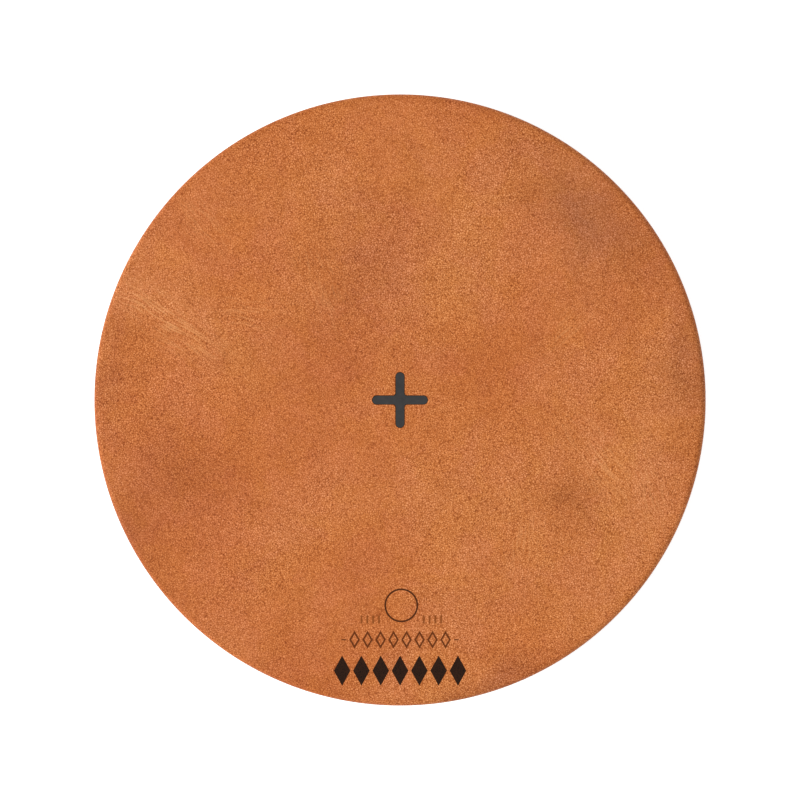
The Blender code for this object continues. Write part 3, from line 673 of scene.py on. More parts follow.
# %% [markdown]
# Each shape is drawn once, over the middle of the pad, and copied to its places. A copy gets its own mesh,
# because Blender doesn't write a place into a mesh that two objects share.

# %% Draw once, copy, join
LINE = 0.26 * MM
DROP = 1.0 * MM  # the shapes are drawn this far above the leather


def flat_shape(corners, size, outline=False):
    """A flat lozenge (4 corners) or round, filled or as a thin outline."""
    deselect()
    bpy.ops.mesh.primitive_circle_add(
        vertices=corners, radius=MM / 2, fill_type="NGON", location=(0, 0, pad_top + DROP)
    )
    shape = bpy.context.object
    shape.scale = (size[0], size[1], 1)
    bpy.ops.object.transform_apply(location=True, rotation=True, scale=True)
    if outline:
        open_mesh(shape, "FACE")
        bpy.ops.mesh.select_all(action="SELECT")
        bpy.ops.mesh.inset(thickness=LINE)
        bpy.ops.mesh.delete(type="FACE")
        deselect()
    return shape


def flat_bar(size):
    deselect()
    bpy.ops.mesh.primitive_plane_add(size=MM, location=(0, 0, pad_top + DROP))
    bar = bpy.context.object
    bar.scale = (size[0], size[1], 1)
    bpy.ops.object.transform_apply(location=True, rotation=True, scale=True)
    return bar


def copies(shape, places):
    """One copy of a shape at each place, each with its own mesh. The shape itself is used up."""
    made = []
    for place in places:
        copy = shape.copy()
        copy.data = shape.data.copy()
        copy.location = place
        bpy.context.collection.objects.link(copy)
        made.append(copy)
    bpy.data.objects.remove(shape)
    return made


def row(count, gap, level):
    """Places side by side across the pad's middle, given in millimetres."""
    return [((i - (count - 1) / 2) * gap * MM, level * MM, 0) for i in range(count)]


def join(pieces):
    """Makes one piece of several."""
    deselect()
    for piece in pieces:
        piece.select_set(True)
    bpy.context.view_layer.objects.active = pieces[0]
    if len(pieces) > 1:
        bpy.ops.object.join()
    bpy.ops.object.transform_apply(location=True, rotation=True, scale=True)
    return bpy.context.object


# %% [markdown]
# Foil ink is pressed into the grain, so it takes the grain's bump from the leather under it and wears thin
# where the creases stayed dry. The thinner the line was burnt, the more of the hide shows through.


# %% Ink
def make_ink(name, code, worn):
    """Foil ink pressed into grain: nearly even, thinner where the leather's creases stayed dry."""
    material, tree, shader, place = start_material(name, code, 0.7, Specular_IOR_Level=0.06)
    height = grain_height(tree, place)
    bare = add_node(
        tree,
        "ShaderNodeMapRange",
        {"Value": height, "From Min": 1.0, "From Max": 0.3, "To Min": 0.0, "To Max": worn},
    )
    colour = add_node(
        tree, "ShaderNodeMixRGB", {"Fac": bare, "Color1": linear(code), "Color2": linear("#A55F36")}
    )
    bump = add_node(tree, "ShaderNodeBump", {"Height": height, "Distance": GRAIN_DEPTH, "Strength": 0.4})
    set_inputs(tree, shader, {"Base Color": colour, "Normal": bump})
    return material


bold_ink = make_ink("black_foil_ink", "#17110E", 0.06)
brown_ink = make_ink("burnt_brown_line", "#5C2A0C", 0.15)
dark_line = make_ink("dark_burnt_line", "#3F1D0B", 0.1)
faint_ink = make_ink("faint_burnt_line", "#854517", 0.35)

# %% Lay the stamp
STAMP_LIFT = 0.012 * MM  # underside of the ink above the hide's mesh, so that the two never touch
INK = 0.015 * MM


def lay_ink(shapes, name, material):
    """Joins flat shapes into one film of ink that follows the hide."""
    film = join(shapes)
    open_mesh(film, "FACE")
    bpy.ops.mesh.select_all(action="SELECT")
    bpy.ops.mesh.quads_convert_to_tris()
    bpy.ops.mesh.subdivide(number_cuts=3)
    deselect()
    use(
        film,
        "SHRINKWRAP",
        target=cover,
        wrap_method="PROJECT",
        use_project_z=True,
        use_negative_direction=True,
        use_positive_direction=True,
        offset=STAMP_LIFT,
    )
    use(film, "SOLIDIFY", thickness=INK, offset=1.0)
    return finish(film, name, material, "leather")


lay_ink(copies(flat_shape(4, BOLD_SIZE), row(BOLD_COUNT, BOLD_GAP, BOLD_ROW)), "stamp_bold_row", bold_ink)

thin = copies(flat_shape(4, THIN_SIZE, outline=True), row(THIN_COUNT, THIN_GAP, THIN_ROW))
thin += copies(flat_bar(DASH_SIZE), row(2, 2 * DASH_AT, THIN_ROW))
lay_ink(thin, "stamp_thin_row", brown_ink)

loop = flat_shape(48, (2 * RING_RADIUS, 2 * RING_RADIUS), outline=True)
loop.location = (RING_MIDDLE[0] * MM, RING_MIDDLE[1] * MM, 0)
lay_ink([loop], "stamp_ring", dark_line)

tick_places = [
    ((RING_MIDDLE[0] + side * (RING_RADIUS + TICK_START + i * TICK_GAP)) * MM, TICKS_LEVEL * MM, 0)
    for side in (-1, 1)
    for i in range(TICK_COUNT)
]
lay_ink(copies(flat_bar(TICK_SIZE), tick_places), "stamp_ticks", faint_ink)

# %% [markdown]
# ## The plastic
#
# The two shells are ABS, moulded charcoal grey in a tool whose walls were spark eroded. That leaves a matt,
# even texture of pits about a tenth of a millimetre across. Drawn at that size it would vanish, so it is
# drawn twice as coarse. A little handling shine and a little dust break up the evenness.


# %% Moulded ABS
SPARK_PITS, PIT_DEPTH = 0.22 * MM, 0.09 * MM
HAND_SHINE = 11.0 * MM  # over which the shine of handling comes and goes


def make_abs():
    """Charcoal grey with painted glints and shade in its even matt pits, a touch glossier where hands have
    been.
    """
    material, tree, shader, place = start_material("spark_textured_charcoal_abs", "#2B2C2E", 0.55, IOR=1.53)
    noise = {"Vector": place, "Scale": 1 / SPARK_PITS, "Detail": 2.0, "Roughness": 0.55}
    pits = add_node(tree, "ShaderNodeTexNoise", noise)
    noise = {"Vector": place, "Scale": 1 / HAND_SHINE, "Detail": 4.0, "Roughness": 0.6}
    handling = add_node(tree, "ShaderNodeTexNoise", noise)
    stops = [(0.3, "#272829"), (0.75, "#303134")]
    colour = add_node(tree, "ShaderNodeValToRGB", {"Fac": handling}, stops=stops)
    # Painted glints and shade: the pits lighten and darken the colour as light catching them would
    stops = [(0.36, (0.7, 0.7, 0.7, 1)), (0.66, (1.5, 1.5, 1.5, 1))]
    pit_glints_and_shade = add_node(tree, "ShaderNodeValToRGB", {"Fac": pits}, stops=stops)
    colour = add_node(
        tree, "ShaderNodeMixRGB", {"Fac": 1.0, "Color1": colour, "Color2": pit_glints_and_shade}, blend_type="MULTIPLY"
    )
    gloss = add_node(tree, "ShaderNodeMapRange", {"Value": handling, "To Min": 0.48, "To Max": 0.66})
    bump = add_node(tree, "ShaderNodeBump", {"Height": pits, "Distance": PIT_DEPTH, "Strength": 1.0})
    set_inputs(tree, shader, {"Base Color": colour, "Roughness": gloss, "Normal": bump})
    return material


moulded_abs = make_abs()

# %% [markdown]
# ## The base shell
#
# The base is a shallow pan. It could be turned from a profile in one go, but working a cylinder shows each
# cut as a toolmaker would make it: round the lower edge, hollow the inside, sink a groove for the foot ring,
# raise the bosses, drill them, and last open the wall for the socket and the status light.

# %% Turn the pan
ROUND_SIDES = 192
BASE_ROUND = 2.2 * MM
LIP_SOFT = 0.3 * MM
WALL = 1.8 * MM
FLOOR = 1.4 * MM
GROOVE_GAP = 0.15 * MM
GROOVE_ROOF = 0.1 * MM
FOOT_WIDTH = 6.8 * MM
NEAR = 0.02 * MM

deselect()
bpy.ops.mesh.primitive_cylinder_add(
    vertices=ROUND_SIDES,
    radius=base_radius,
    depth=base_high.z - base_low.z,
    location=(0, 0, (base_low.z + base_high.z) / 2),
)
base = bpy.context.object
bpy.ops.object.transform_apply(location=True, rotation=True, scale=True)

open_mesh(base)
pick(base, lambda m, n: m.z < base_low.z + NEAR, "edges")
bpy.ops.mesh.bevel(offset=BASE_ROUND, segments=8, affect="EDGES")
bpy.ops.mesh.select_all(action="DESELECT")
pick(base, lambda m, n: m.z > base_high.z - NEAR, "edges")
bpy.ops.mesh.bevel(offset=LIP_SOFT, segments=3, affect="EDGES")

open_mesh(base, "FACE")
pick(base, lambda m, n: n.z > 0.999)
bpy.ops.mesh.inset(thickness=WALL - LIP_SOFT)
floor_top = base_low.z + FLOOR
bpy.ops.mesh.extrude_region_move(TRANSFORM_OT_translate={"value": (0, 0, floor_top - base_high.z)})
deselect()
print(f"pan {2 * base_radius / MM:.1f} mm across, {(base_high.z - base_low.z) / MM:.1f} mm deep")

# %% Sink the groove and the dish under the base
DISH_RADIUS, DISH_DEPTH = 26 * MM, 0.2 * MM

groove_outside = foot_high.x + GROOVE_GAP
groove_inside = groove_outside - FOOT_WIDTH - 2 * GROOVE_GAP
open_mesh(base, "FACE")
pick(base, lambda m, n: n.z < -0.999)
bpy.ops.mesh.inset(thickness=base_radius - BASE_ROUND - groove_outside)
bpy.ops.mesh.inset(thickness=groove_outside - groove_inside)
bpy.ops.mesh.inset(thickness=groove_inside - DISH_RADIUS)
bpy.ops.mesh.inset(thickness=DISH_DEPTH)
bpy.ops.transform.translate(value=(0, 0, DISH_DEPTH))
open_mesh(base, "FACE")
count = pick(base, lambda m, n: n.z < -0.999 and groove_inside < flat_radius(m) < groove_outside)
bpy.ops.mesh.extrude_region_move(
    TRANSFORM_OT_translate={"value": (0, 0, foot_high.z + GROOVE_ROOF - base_low.z)}
)
deselect()
print(f"groove of {count} faces, {2 * groove_outside / MM:.1f} mm across")


# %% Bosses, drilled
def drill(name, radius, low, high, middle=(0, 0), sides=32):
    """An upright cylinder to add or to cut with."""
    deselect()
    bpy.ops.mesh.primitive_cylinder_add(
        vertices=sides, radius=radius, depth=high - low, location=(middle[0], middle[1], (low + high) / 2)
    )
    tool = bpy.context.object
    tool.name = name
    return tool


def work(obj, tool, operation):
    use(obj, "BOOLEAN", operation=operation, solver="EXACT", object=tool)
    bpy.data.objects.remove(tool)


def middle_of(node):
    low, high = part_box(node)
    return ((low.x + high.x) / 2, (low.y + high.y) / 2)


BOSS_RADIUS, BOSS_TOP = 3.2 * MM, 4.0 * MM
HEAD_HOLE, SHANK_HOLE = 2.05 * MM, 1.15 * MM
HEAD_DEPTH = 0.95 * MM
BOARD_BOSS, BOARD_HOLE, BOARD_GAP = 2.0 * MM, 0.95 * MM, 0.1 * MM
PILOT_DEPTH = 0.6 * MM  # into the floor
SINK = 0.3 * MM  # a boss starts this far down in the floor, so that the two join

board_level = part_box("main_board")[0].z
head_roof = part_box("case_screw_1")[0].z + HEAD_DEPTH
for number in range(1, 5):
    place = middle_of(f"case_screw_{number}")
    work(base, drill("boss", BOSS_RADIUS, floor_top - SINK, BOSS_TOP, place), "UNION")
    work(base, drill("head", HEAD_HOLE, base_low.z, head_roof, place), "DIFFERENCE")
    work(base, drill("shank", SHANK_HOLE, base_low.z, BOSS_TOP + CLEAR, place), "DIFFERENCE")
for number in range(1, 4):
    place = middle_of(f"board_screw_{number}")
    work(base, drill("boss", BOARD_BOSS, floor_top - SINK, board_level - BOARD_GAP, place), "UNION")
    work(base, drill("pilot", BOARD_HOLE, floor_top - PILOT_DEPTH, board_level + CLEAR, place), "DIFFERENCE")
print(f"bosses for 4 case screws and 3 board screws, base of {len(base.data.polygons)} faces")

# %% [markdown]
# The socket's window gets a small funnel at its mouth, which guides a plug in the dark. The cutter is a block
# with its long edges rounded. Its outer end is extruded and widened, so one cut leaves the window and the
# funnel together.

# %% Open the wall
WINDOW_MARGIN = 0.3 * MM
WINDOW_CORNER = 1.4 * MM
FUNNEL, FLARE = 0.35 * MM, 1.2  # depth, and how fast each side opens


def stadium_bar(width, height, start, end, corner, segments=8):
    """A bar along Y with rounded long edges, level with the socket."""
    deselect()
    bpy.ops.mesh.primitive_cube_add(size=1, location=(0, (start + end) / 2, socket_level))
    bar = bpy.context.object
    bar.scale = (width, end - start, height)
    bpy.ops.object.transform_apply(location=True, rotation=True, scale=True)
    open_mesh(bar)
    pick(bar, lambda m, n: abs(n.y) > abs(n.x) + abs(n.z), "edges")
    bpy.ops.mesh.bevel(offset=corner, segments=segments, affect="EDGES")
    deselect()
    return bar


socket_width, socket_height = socket_high.x - socket_low.x, socket_high.z - socket_low.z
window_width, window_height = socket_width + 2 * WINDOW_MARGIN, socket_height + 2 * WINDOW_MARGIN
funnel_start = base_radius - FUNNEL
window = stadium_bar(window_width, window_height, base_radius - 2 * WALL, funnel_start, WINDOW_CORNER)
open_mesh(window, "FACE")
pick(window, lambda m, n: n.y > 0.99)
bpy.ops.mesh.extrude_region_move(TRANSFORM_OT_translate={"value": (0, 2 * FUNNEL, 0)})
opened = 2 * FLARE * FUNNEL
bpy.ops.transform.resize(
    value=(1 + opened / window_width, 1, 1 + opened / window_height),
    center_override=(0, funnel_start + 2 * FUNNEL, socket_level),
)
deselect()
work(base, window, "DIFFERENCE")
print(f"window {window_width / MM:.2f} mm wide and {window_height / MM:.2f} mm high")

# %% [markdown]
# The status light's hole is round and points outwards beside the socket. A cylinder is made upright and then
# turned to lie along that line, and the light's pipe is turned in the same way later.

# %% Drill for the light
PIPE_RADIUS, PIPE_GAP = 0.9 * MM, 0.15 * MM
DRILL_REACH = 4.0 * MM

pipe_middle = middle_of("light_pipe")
pipe_turn = math.atan2(pipe_middle[1], pipe_middle[0])


def lay_outwards(obj, radius, level):
    """Turns an upright piece to point out along the status light's line."""
    obj.rotation_euler = (0, math.pi / 2, pipe_turn)
    obj.location = (radius * math.cos(pipe_turn), radius * math.sin(pipe_turn), level)


light_hole = drill("light_hole", PIPE_RADIUS + PIPE_GAP, -DRILL_REACH, DRILL_REACH)
lay_outwards(light_hole, base_radius, socket_level)
work(base, light_hole, "DIFFERENCE")
finish(base, "base_shell_moulding", moulded_abs, "case_plastic", "base_shell")

# %% [markdown]
# ## The foot ring
#
# A soft ring keeps the pad from sliding. It is easiest to spin: one rectangle, its lower corners rounded, is
# carried once round the pad's axis, and the last copy is merged with the first. The tread is cut into narrow
# strips first, and every fourth seam is lifted, which leaves fine concentric grooves that grip a desk.

# %% Spin the ring
FOOT_SOFT = 0.35 * MM
RIBS, RIB_SEAMS, RIB_DEPTH = 5, 4, 0.12 * MM

deselect()
bpy.ops.mesh.primitive_plane_add(
    size=1, location=(foot_high.x - FOOT_WIDTH / 2, 0, foot_high.z / 2), rotation=(math.pi / 2, 0, 0)
)
ring = bpy.context.object
ring.scale = (FOOT_WIDTH, foot_high.z, 1)
bpy.ops.object.transform_apply(location=True, rotation=True, scale=True)
open_mesh(ring, "VERT")
mesh = bmesh.from_edit_mesh(ring.data)
for vertex in mesh.verts:
    vertex.select_set(vertex.co.z < foot_high.z / 2)
bmesh.update_edit_mesh(ring.data)
bpy.ops.mesh.bevel(offset=FOOT_SOFT, segments=5, affect="VERTICES")
bpy.ops.mesh.select_all(action="SELECT")
bpy.ops.mesh.delete(type="ONLY_FACE")
open_mesh(ring)
pick(ring, lambda m, n: m.z < NEAR and abs(n.x) > MM, "edges")
bpy.ops.mesh.subdivide(number_cuts=RIBS * RIB_SEAMS - 1)
open_mesh(ring, "VERT")
mesh = bmesh.from_edit_mesh(ring.data)
tread = sorted((v for v in mesh.verts if v.co.z < NEAR), key=lambda v: v.co.x)
for i, vertex in enumerate(tread):
    vertex.select_set(i % RIB_SEAMS == 2)
bmesh.update_edit_mesh(ring.data)
bpy.ops.transform.translate(value=(0, 0, RIB_DEPTH))
bpy.ops.mesh.select_all(action="SELECT")
bpy.ops.mesh.spin(steps=ROUND_SIDES, angle=math.tau, center=(0, 0, 0), axis=(0, 0, 1))
bpy.ops.mesh.select_all(action="SELECT")
bpy.ops.mesh.remove_doubles(threshold=0.005 * MM)
bpy.ops.mesh.normals_make_consistent(inside=False)
deselect()
finish(ring, "foot_ring_silicone", silicone, "silicone", "foot_ring")

# %% [markdown]
# ## The socket
#
# A USB-C socket is a drawn steel sleeve round a black moulding. The moulding's tongue carries twelve gold
# contacts on each face, half a millimetre apart. The sleeve is a rounded bar whose two ends are inset and
# bridged through, and its mouth is softened, because a plug has scraped it.

# %% Steel sleeve
SLEEVE_SHEET = 0.3 * MM
SLEEVE_CORNER = 1.4 * MM
MOUTH_SOFT = 0.08 * MM
DRAW_LINES, PLATE_LINES = 0.12 * MM, 0.2 * MM  # width of the streaks that the tools leave
STREAK_DEPTH = 0.006 * MM


def make_steel(name, code, roughness, grain):
    """Plated or drawn metal: bright, with soft streaks left by the tool along X."""
    material, tree, shader, place = start_material(name, code, roughness, Metallic=1.0)
    lines = strokes(tree, place, 0, (10 * grain, grain, grain))
    gloss = add_node(
        tree, "ShaderNodeMapRange", {"Value": lines, "To Min": roughness - 0.08, "To Max": roughness + 0.12}
    )
    bump = add_node(tree, "ShaderNodeBump", {"Height": lines, "Distance": STREAK_DEPTH, "Strength": 0.4})
    set_inputs(tree, shader, {"Roughness": gloss, "Normal": bump})
    return material


stainless = make_steel("drawn_stainless", "#C9C9C6", 0.28, DRAW_LINES)
zinc = make_steel("zinc_plated_steel", "#BDBFBC", 0.38, PLATE_LINES)

sleeve = stadium_bar(socket_width, socket_height, socket_low.y, socket_high.y, SLEEVE_CORNER)
open_mesh(sleeve, "FACE")
pick(sleeve, lambda m, n: abs(n.y) > 0.99)
bpy.ops.mesh.inset(thickness=SLEEVE_SHEET, use_individual=True)
bpy.ops.mesh.bridge_edge_loops()
open_mesh(sleeve)
pick(sleeve, lambda m, n: m.y > socket_high.y - NEAR and abs(n.y) < NEAR / 10, "edges")
bpy.ops.mesh.bevel(offset=MOUTH_SOFT, segments=2, affect="EDGES")
bpy.ops.mesh.select_all(action="SELECT")
bpy.ops.mesh.normals_make_consistent(inside=False)
finish(sleeve, "usb_sleeve", stainless, "stainless", "usb_shell")

# %% [markdown]
# The moulding is a block that fills the back of the sleeve, with a thin tongue standing out of it. Both are
# bars like the window's cutter, joined by a Boolean, so that they leave one closed skin.

# %% Tongue
TONGUE_WIDTH, TONGUE_HEIGHT = 6.69 * MM, 0.70 * MM
TONGUE_ROOT = 0.5 * MM  # how deep the tongue starts in the block
TONGUE_SIDE, TONGUE_TIP = 0.12 * MM, 0.15 * MM  # rounds along it and at its tip
BLOCK_LONG = 1.6 * MM
BLOCK_GAP = 0.1 * MM

moulding_low, moulding_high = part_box("usb_moulding")
block_end = moulding_low.y + BLOCK_LONG

# Nearly black, with the faint fibrous bloom of glass-filled nylon
black_moulding = make_cast("glass_filled_black_nylon", "#141517", "#212225", (0.4, 0.62), 0.3 * MM, 0.01 * MM)
moulding = stadium_bar(
    moulding_high.x - moulding_low.x,
    moulding_high.z - moulding_low.z,
    moulding_low.y,
    block_end,
    SLEEVE_CORNER - SLEEVE_SHEET - BLOCK_GAP,
)
tongue = stadium_bar(
    TONGUE_WIDTH, TONGUE_HEIGHT, block_end - TONGUE_ROOT, moulding_high.y, TONGUE_SIDE, segments=3
)
open_mesh(tongue)
pick(tongue, lambda m, n: m.y > moulding_high.y - NEAR, "edges")
bpy.ops.mesh.bevel(offset=TONGUE_TIP, segments=3, affect="EDGES")
deselect()
work(moulding, tongue, "UNION")
finish(moulding, "usb_tongue", black_moulding, "black_epoxy", "usb_moulding")

# %% [markdown]
# The contacts are stamped strips, gold plated, of which only the flat pads show. One pad is made with its
# edges broken, and 24 copies are laid on the tongue's two faces.

# %% Contacts
CONTACTS, CONTACT_PITCH = 12, 0.5 * MM
PAD_WIDTH, PAD_LONG, PAD_THICK = 0.28 * MM, 3.4 * MM, 0.03 * MM
PAD_SOFT = 0.01 * MM
PAD_SETBACK = 0.45 * MM  # from the tongue's tip
GOLD_LINES = 0.1 * MM

deselect()
bpy.ops.mesh.primitive_cube_add(size=1)
pad = bpy.context.object
pad.scale = (PAD_WIDTH, PAD_LONG, PAD_THICK)
bpy.ops.object.transform_apply(location=True, rotation=True, scale=True)
use(pad, "BEVEL", width=PAD_SOFT, segments=1)
pad_places = [
    (
        (i - (CONTACTS - 1) / 2) * CONTACT_PITCH,
        moulding_high.y - PAD_SETBACK - PAD_LONG / 2,
        socket_level + side * (TONGUE_HEIGHT + PAD_THICK) / 2,
    )
    for side in (-1, 1)
    for i in range(CONTACTS)
]
gold = make_steel("gold_plating", "#E6B85C", 0.25, GOLD_LINES)
finish(join(copies(pad, pad_places)), "usb_contacts", gold, "stainless")

# %% [markdown]
# ## The status light
#
# The light sits on the board, and a clear pipe with a collar brings it to the side. Its outer end is rounded
# a little, so that the glow shows from above as well. It is off here, as the pad is resting.

# %% Light pipe
PIPE_COLLAR, COLLAR_LONG = 1.3 * MM, 0.7 * MM
PIPE_START = 45.7 * MM  # from the pad's axis
PIPE_SHORT = 0.1 * MM  # its end stays this far inside the base's side
PIPE_SOFT = 0.3 * MM
SCUFFS = 0.5 * MM

pipe = drill("pipe", PIPE_COLLAR, 0, COLLAR_LONG)
bpy.ops.object.transform_apply(location=True, rotation=True, scale=True)
open_mesh(pipe, "FACE")
pick(pipe, lambda m, n: n.z > 0.99)
bpy.ops.mesh.inset(thickness=PIPE_COLLAR - PIPE_RADIUS)
pipe_long = base_radius - PIPE_SHORT - PIPE_START
bpy.ops.mesh.extrude_region_move(TRANSFORM_OT_translate={"value": (0, 0, pipe_long - COLLAR_LONG)})
open_mesh(pipe)
pick(pipe, lambda m, n: m.z > pipe_long - NEAR, "edges")
bpy.ops.mesh.bevel(offset=PIPE_SOFT, segments=4, affect="EDGES")
deselect()
lay_outwards(pipe, PIPE_START, socket_level)


def make_clear():
    """Water clear, with a cloudiness left by the mould inside and fine scuffs outside."""
    material, tree, shader, place = start_material(
        "moulded_polycarbonate", "#DDE3E4", 0.15, IOR=1.585, Transmission_Weight=0.6
    )
    scuffs = add_node(
        tree, "ShaderNodeTexNoise", {"Vector": place, "Scale": 1 / SCUFFS, "Detail": 3.0, "Roughness": 0.7}
    )
    gloss = add_node(tree, "ShaderNodeMapRange", {"Value": scuffs, "To Min": 0.08, "To Max": 0.3})
    set_inputs(tree, shader, {"Roughness": gloss})
    return material


clear_plastic = make_clear()
finish(pipe, "status_light_pipe", clear_plastic, "clear_plastic", "light_pipe")

# %% [markdown]
# ## What the shell hides
#
# The pieces inside keep the frame's own shapes and get their real stuffs. Most are cast, pressed or moulded,
# and one recipe with its own colours and grain size serves them all. The coil and the board have a build of
# their own: strands that follow the winding, and tracks under a green mask.


# %% Copper litz and board
STRANDS = 0.88 * MM  # from one dark line to the next; single strands would be too fine to show
RING_WAVES = 20 / math.tau  # rings of a Wave texture in one metre, at a scale of 1
STRAND_DEPTH = 0.04 * MM
TRACKS, TRACK_DEPTH = 2.6 * MM, 0.03 * MM
WEAVE = 0.5 * MM  # glass cloth under the mask


def make_litz():
    """Enamelled strands run along the winding: bright copper ridges with dark lines between."""
    material, tree, shader, place = start_material("enamelled_copper_litz", "#B4622F", 0.35, Metallic=0.85)
    strands = add_node(
        tree,
        "ShaderNodeTexWave",
        {
            "Vector": place,
            "Scale": 1 / (RING_WAVES * STRANDS),
            "Distortion": 3.0,
            "Detail": 2.0,
            "Detail Scale": 0.4,
        },
        wave_type="RINGS",
        rings_direction="Z",
    )
    strand = strands.outputs["Fac"]
    stops = [(0.05, "#6B3216"), (0.6, "#C8733A")]
    colour = add_node(tree, "ShaderNodeValToRGB", {"Fac": strand}, stops=stops)
    gloss = add_node(tree, "ShaderNodeMapRange", {"Value": strand, "To Min": 0.5, "To Max": 0.28})
    bump = add_node(tree, "ShaderNodeBump", {"Height": strand, "Distance": STRAND_DEPTH, "Strength": 0.7})
    set_inputs(tree, shader, {"Base Color": colour, "Roughness": gloss, "Normal": bump})
    return material


def make_board():
    """Deep green solder mask, glossy, with the tracks under it a shade lighter and a hair higher."""
    material, tree, shader, place = start_material("green_masked_fibreglass", "#12402C", 0.3, IOR=1.55)
    cells = add_node(
        tree,
        "ShaderNodeTexVoronoi",
        {"Vector": place, "Scale": 1 / TRACKS, "Randomness": 0.8},
        distance="CHEBYCHEV",
    )
    tracks = add_node(tree, "ShaderNodeMapRange", {"Value": cells, "From Min": 0.30, "From Max": 0.34})
    colour = add_node(tree, "ShaderNodeValToRGB", {"Fac": tracks}, stops=[(0.2, "#1B5A3C"), (0.8, "#0F3A28")])
    weave = add_node(tree, "ShaderNodeTexNoise", {"Vector": place, "Scale": 1 / WEAVE, "Detail": 2.0})
    gloss = add_node(tree, "ShaderNodeMapRange", {"Value": weave, "To Min": 0.22, "To Max": 0.42})
    bump = add_node(
        tree, "ShaderNodeBump", {"Height": tracks, "Distance": TRACK_DEPTH, "Strength": 0.6}, invert=True
    )
    set_inputs(tree, shader, {"Base Color": colour, "Roughness": gloss, "Normal": bump})
    return material


litz, board = make_litz(), make_board()

# %% Cast stuffs inside
# Name, darker and lighter colour, least and most roughness, grain size and depth in millimetres
CAST_STUFFS = (
    ("pressed_ferrite", "#232426", "#36373A", (0.55, 0.8), 0.25, 0.02),  # dull graphite grey, gritty
    ("open_cell_foam", "#33363A", "#4A4E53", (0.85, 1.0), 0.6, 0.25),  # soft grey, pocked with pores
    ("moulded_black_epoxy", "#161718", "#242527", (0.45, 0.7), 0.12, 0.01),  # fine matt black of a chip
    ("tan_ceramic", "#A98C66", "#C2A67E", (0.35, 0.55), 0.3, 0.01),  # sandy, half gloss, like a fired tile
    ("red_insulation", "#A3201C", "#BE3028", (0.3, 0.45), 0.8, 0.01),  # clear signal red, waxy
    ("phosphor_lens", "#E3DFC2", "#EFEBD2", (0.25, 0.4), 0.4, 0.01),  # milky yellow white
    ("grey_gap_filler", "#8E9AA6", "#A3AEB8", (0.7, 0.85), 0.5, 0.04),  # putty, pale blue grey
    ("clear_transfer_film", "#D9D5C6", "#E8E5D8", (0.1, 0.25), 3.0, 0.005),  # almost colourless, shiny
)
cast = {
    name: make_cast(name, dark, light, gloss, size * MM, depth * MM)
    for name, dark, light, gloss, size, depth in CAST_STUFFS
}
# Honey-coloured and glassy, so that the winding shows through
tape = make_cast(
    "amber_polyimide",
    "#A85B0C",
    "#C4741A",
    (0.12, 0.25),
    4.0 * MM,
    0.01 * MM,
    IOR=1.7,
    Transmission_Weight=0.5,
)

# %% Dress the pieces that keep their shape
KEPT = (
    (moulded_abs, ["lid"]),
    (litz, ["charging_coil"]),
    (board, ["main_board"]),
    (tape, ["coil_tape"]),
    (cast["pressed_ferrite"], ["ferrite_disc", "power_inductor"]),
    (cast["open_cell_foam"], ["coil_foam"]),
    (cast["moulded_black_epoxy"], ["controller_chip", "bridge_chip_1", "bridge_chip_2"]),
    (cast["moulded_black_epoxy"], ["thermistor_bead", "thermistor_wire_2"]),
    (cast["red_insulation"], ["thermistor_wire_1"]),
    (cast["tan_ceramic"], [f"resonance_capacitor_{i}" for i in range(1, 5)]),
    (cast["tan_ceramic"], ["input_capacitor_1", "input_capacitor_2"]),
    (cast["phosphor_lens"], ["status_led"]),
    (cast["grey_gap_filler"], ["thermal_pad"]),
    (cast["clear_transfer_film"], ["glue_film"]),
    (stainless, ["crystal"]),
    (zinc, [f"case_screw_{i}" for i in range(1, 5)]),
    (zinc, [f"board_screw_{i}" for i in range(1, 4)]),
)
for material, names in KEPT:
    for name in names:
        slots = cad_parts[name].data.materials
        slots.clear()
        slots.append(material)
print(f"{sum(len(names) for _, names in KEPT)} pieces keep their shape, each in its own stuff")

# %% [markdown]
# ## Floor, light and camera
#
# The pad lies on a white sweep under one large soft lamp at the left and an even white sky, and the camera
# looks straight down. The floor glows a little, so that it stays white, and from below it is clear, so that
# the underside can be looked at. A lens of 100 mm sees the side of so thin a pad hardly at all.

# %% Floor
FLOOR_SIZE = 8.0
GLOW = 0.6

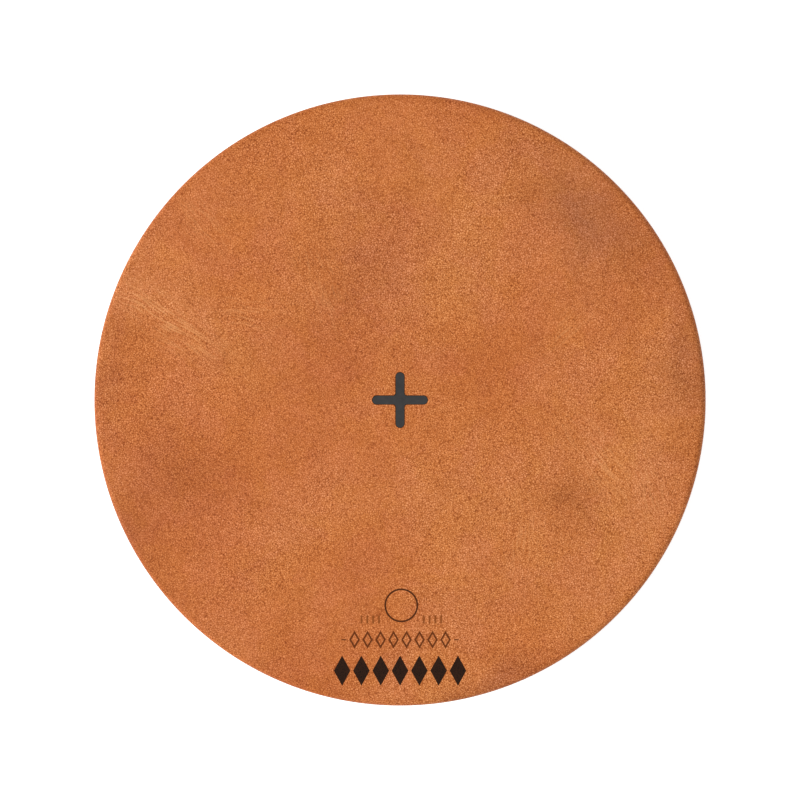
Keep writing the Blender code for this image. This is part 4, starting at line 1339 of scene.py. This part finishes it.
deselect()
bpy.ops.mesh.primitive_plane_add(size=FLOOR_SIZE, location=(0, 0, -NEAR))
floor = bpy.context.object
floor.name = "floor"


def make_floor():
    """A white sweep that glows a little, so that it stays white. From below it is clear."""
    material, tree, shader, _ = start_material(
        "lit_white_sweep", "#FFFFFF", 0.9, Emission_Color=(1, 1, 1, 1), Emission_Strength=GLOW
    )
    below = add_node(tree, "ShaderNodeNewGeometry").outputs["Backfacing"]
    clear = add_node(tree, "ShaderNodeBsdfTransparent")
    mixed = add_node(tree, "ShaderNodeMixShader", {0: below, 1: shader, 2: clear})
    set_inputs(tree, tree.nodes["Material Output"], {"Surface": mixed})
    material.cycles.emission_sampling = "NONE"  # aimed rays leave a seam along the plane's diagonal
    return material


floor.data.materials.append(make_floor())

# %% Light
SKY = 0.6
LAMP_PLACE, LAMP_SIZE, LAMP_POWER = (-1.1, -0.12, 0.95), 0.7, 17

world = bpy.data.worlds.new("studio")
bpy.context.scene.world = world
world.use_nodes = True
set_inputs(world.node_tree, world.node_tree.nodes["Background"], {"Color": (1, 1, 1, 1), "Strength": SKY})

softbox = bpy.data.lights.new("softbox", "AREA")
softbox.size = LAMP_SIZE
softbox.energy = LAMP_POWER
lamp = bpy.data.objects.new("softbox", softbox)
lamp.location = LAMP_PLACE
lamp.rotation_euler = (-Vector(LAMP_PLACE)).to_track_quat("-Z", "Y").to_euler()
bpy.context.scene.collection.objects.link(lamp)
bpy.context.scene.view_settings.view_transform = "Standard"
print(f"lamp {lamp.location.length:.2f} m away")

# %% Camera
VIEW_WIDTH = 130.5 * MM  # as wide as the picture is at the leather
LENS, SENSOR = 100.0, 36.0

camera_data = bpy.data.cameras.new("camera")
camera_data.lens = LENS
camera_data.sensor_width = SENSOR
camera = bpy.data.objects.new("camera", camera_data)
bpy.context.scene.collection.objects.link(camera)
camera.location = (0, 0, pad_top + VIEW_WIDTH * LENS / SENSOR)
bpy.context.scene.camera = camera
print(f"camera {camera.location.z / MM:.0f} mm up")
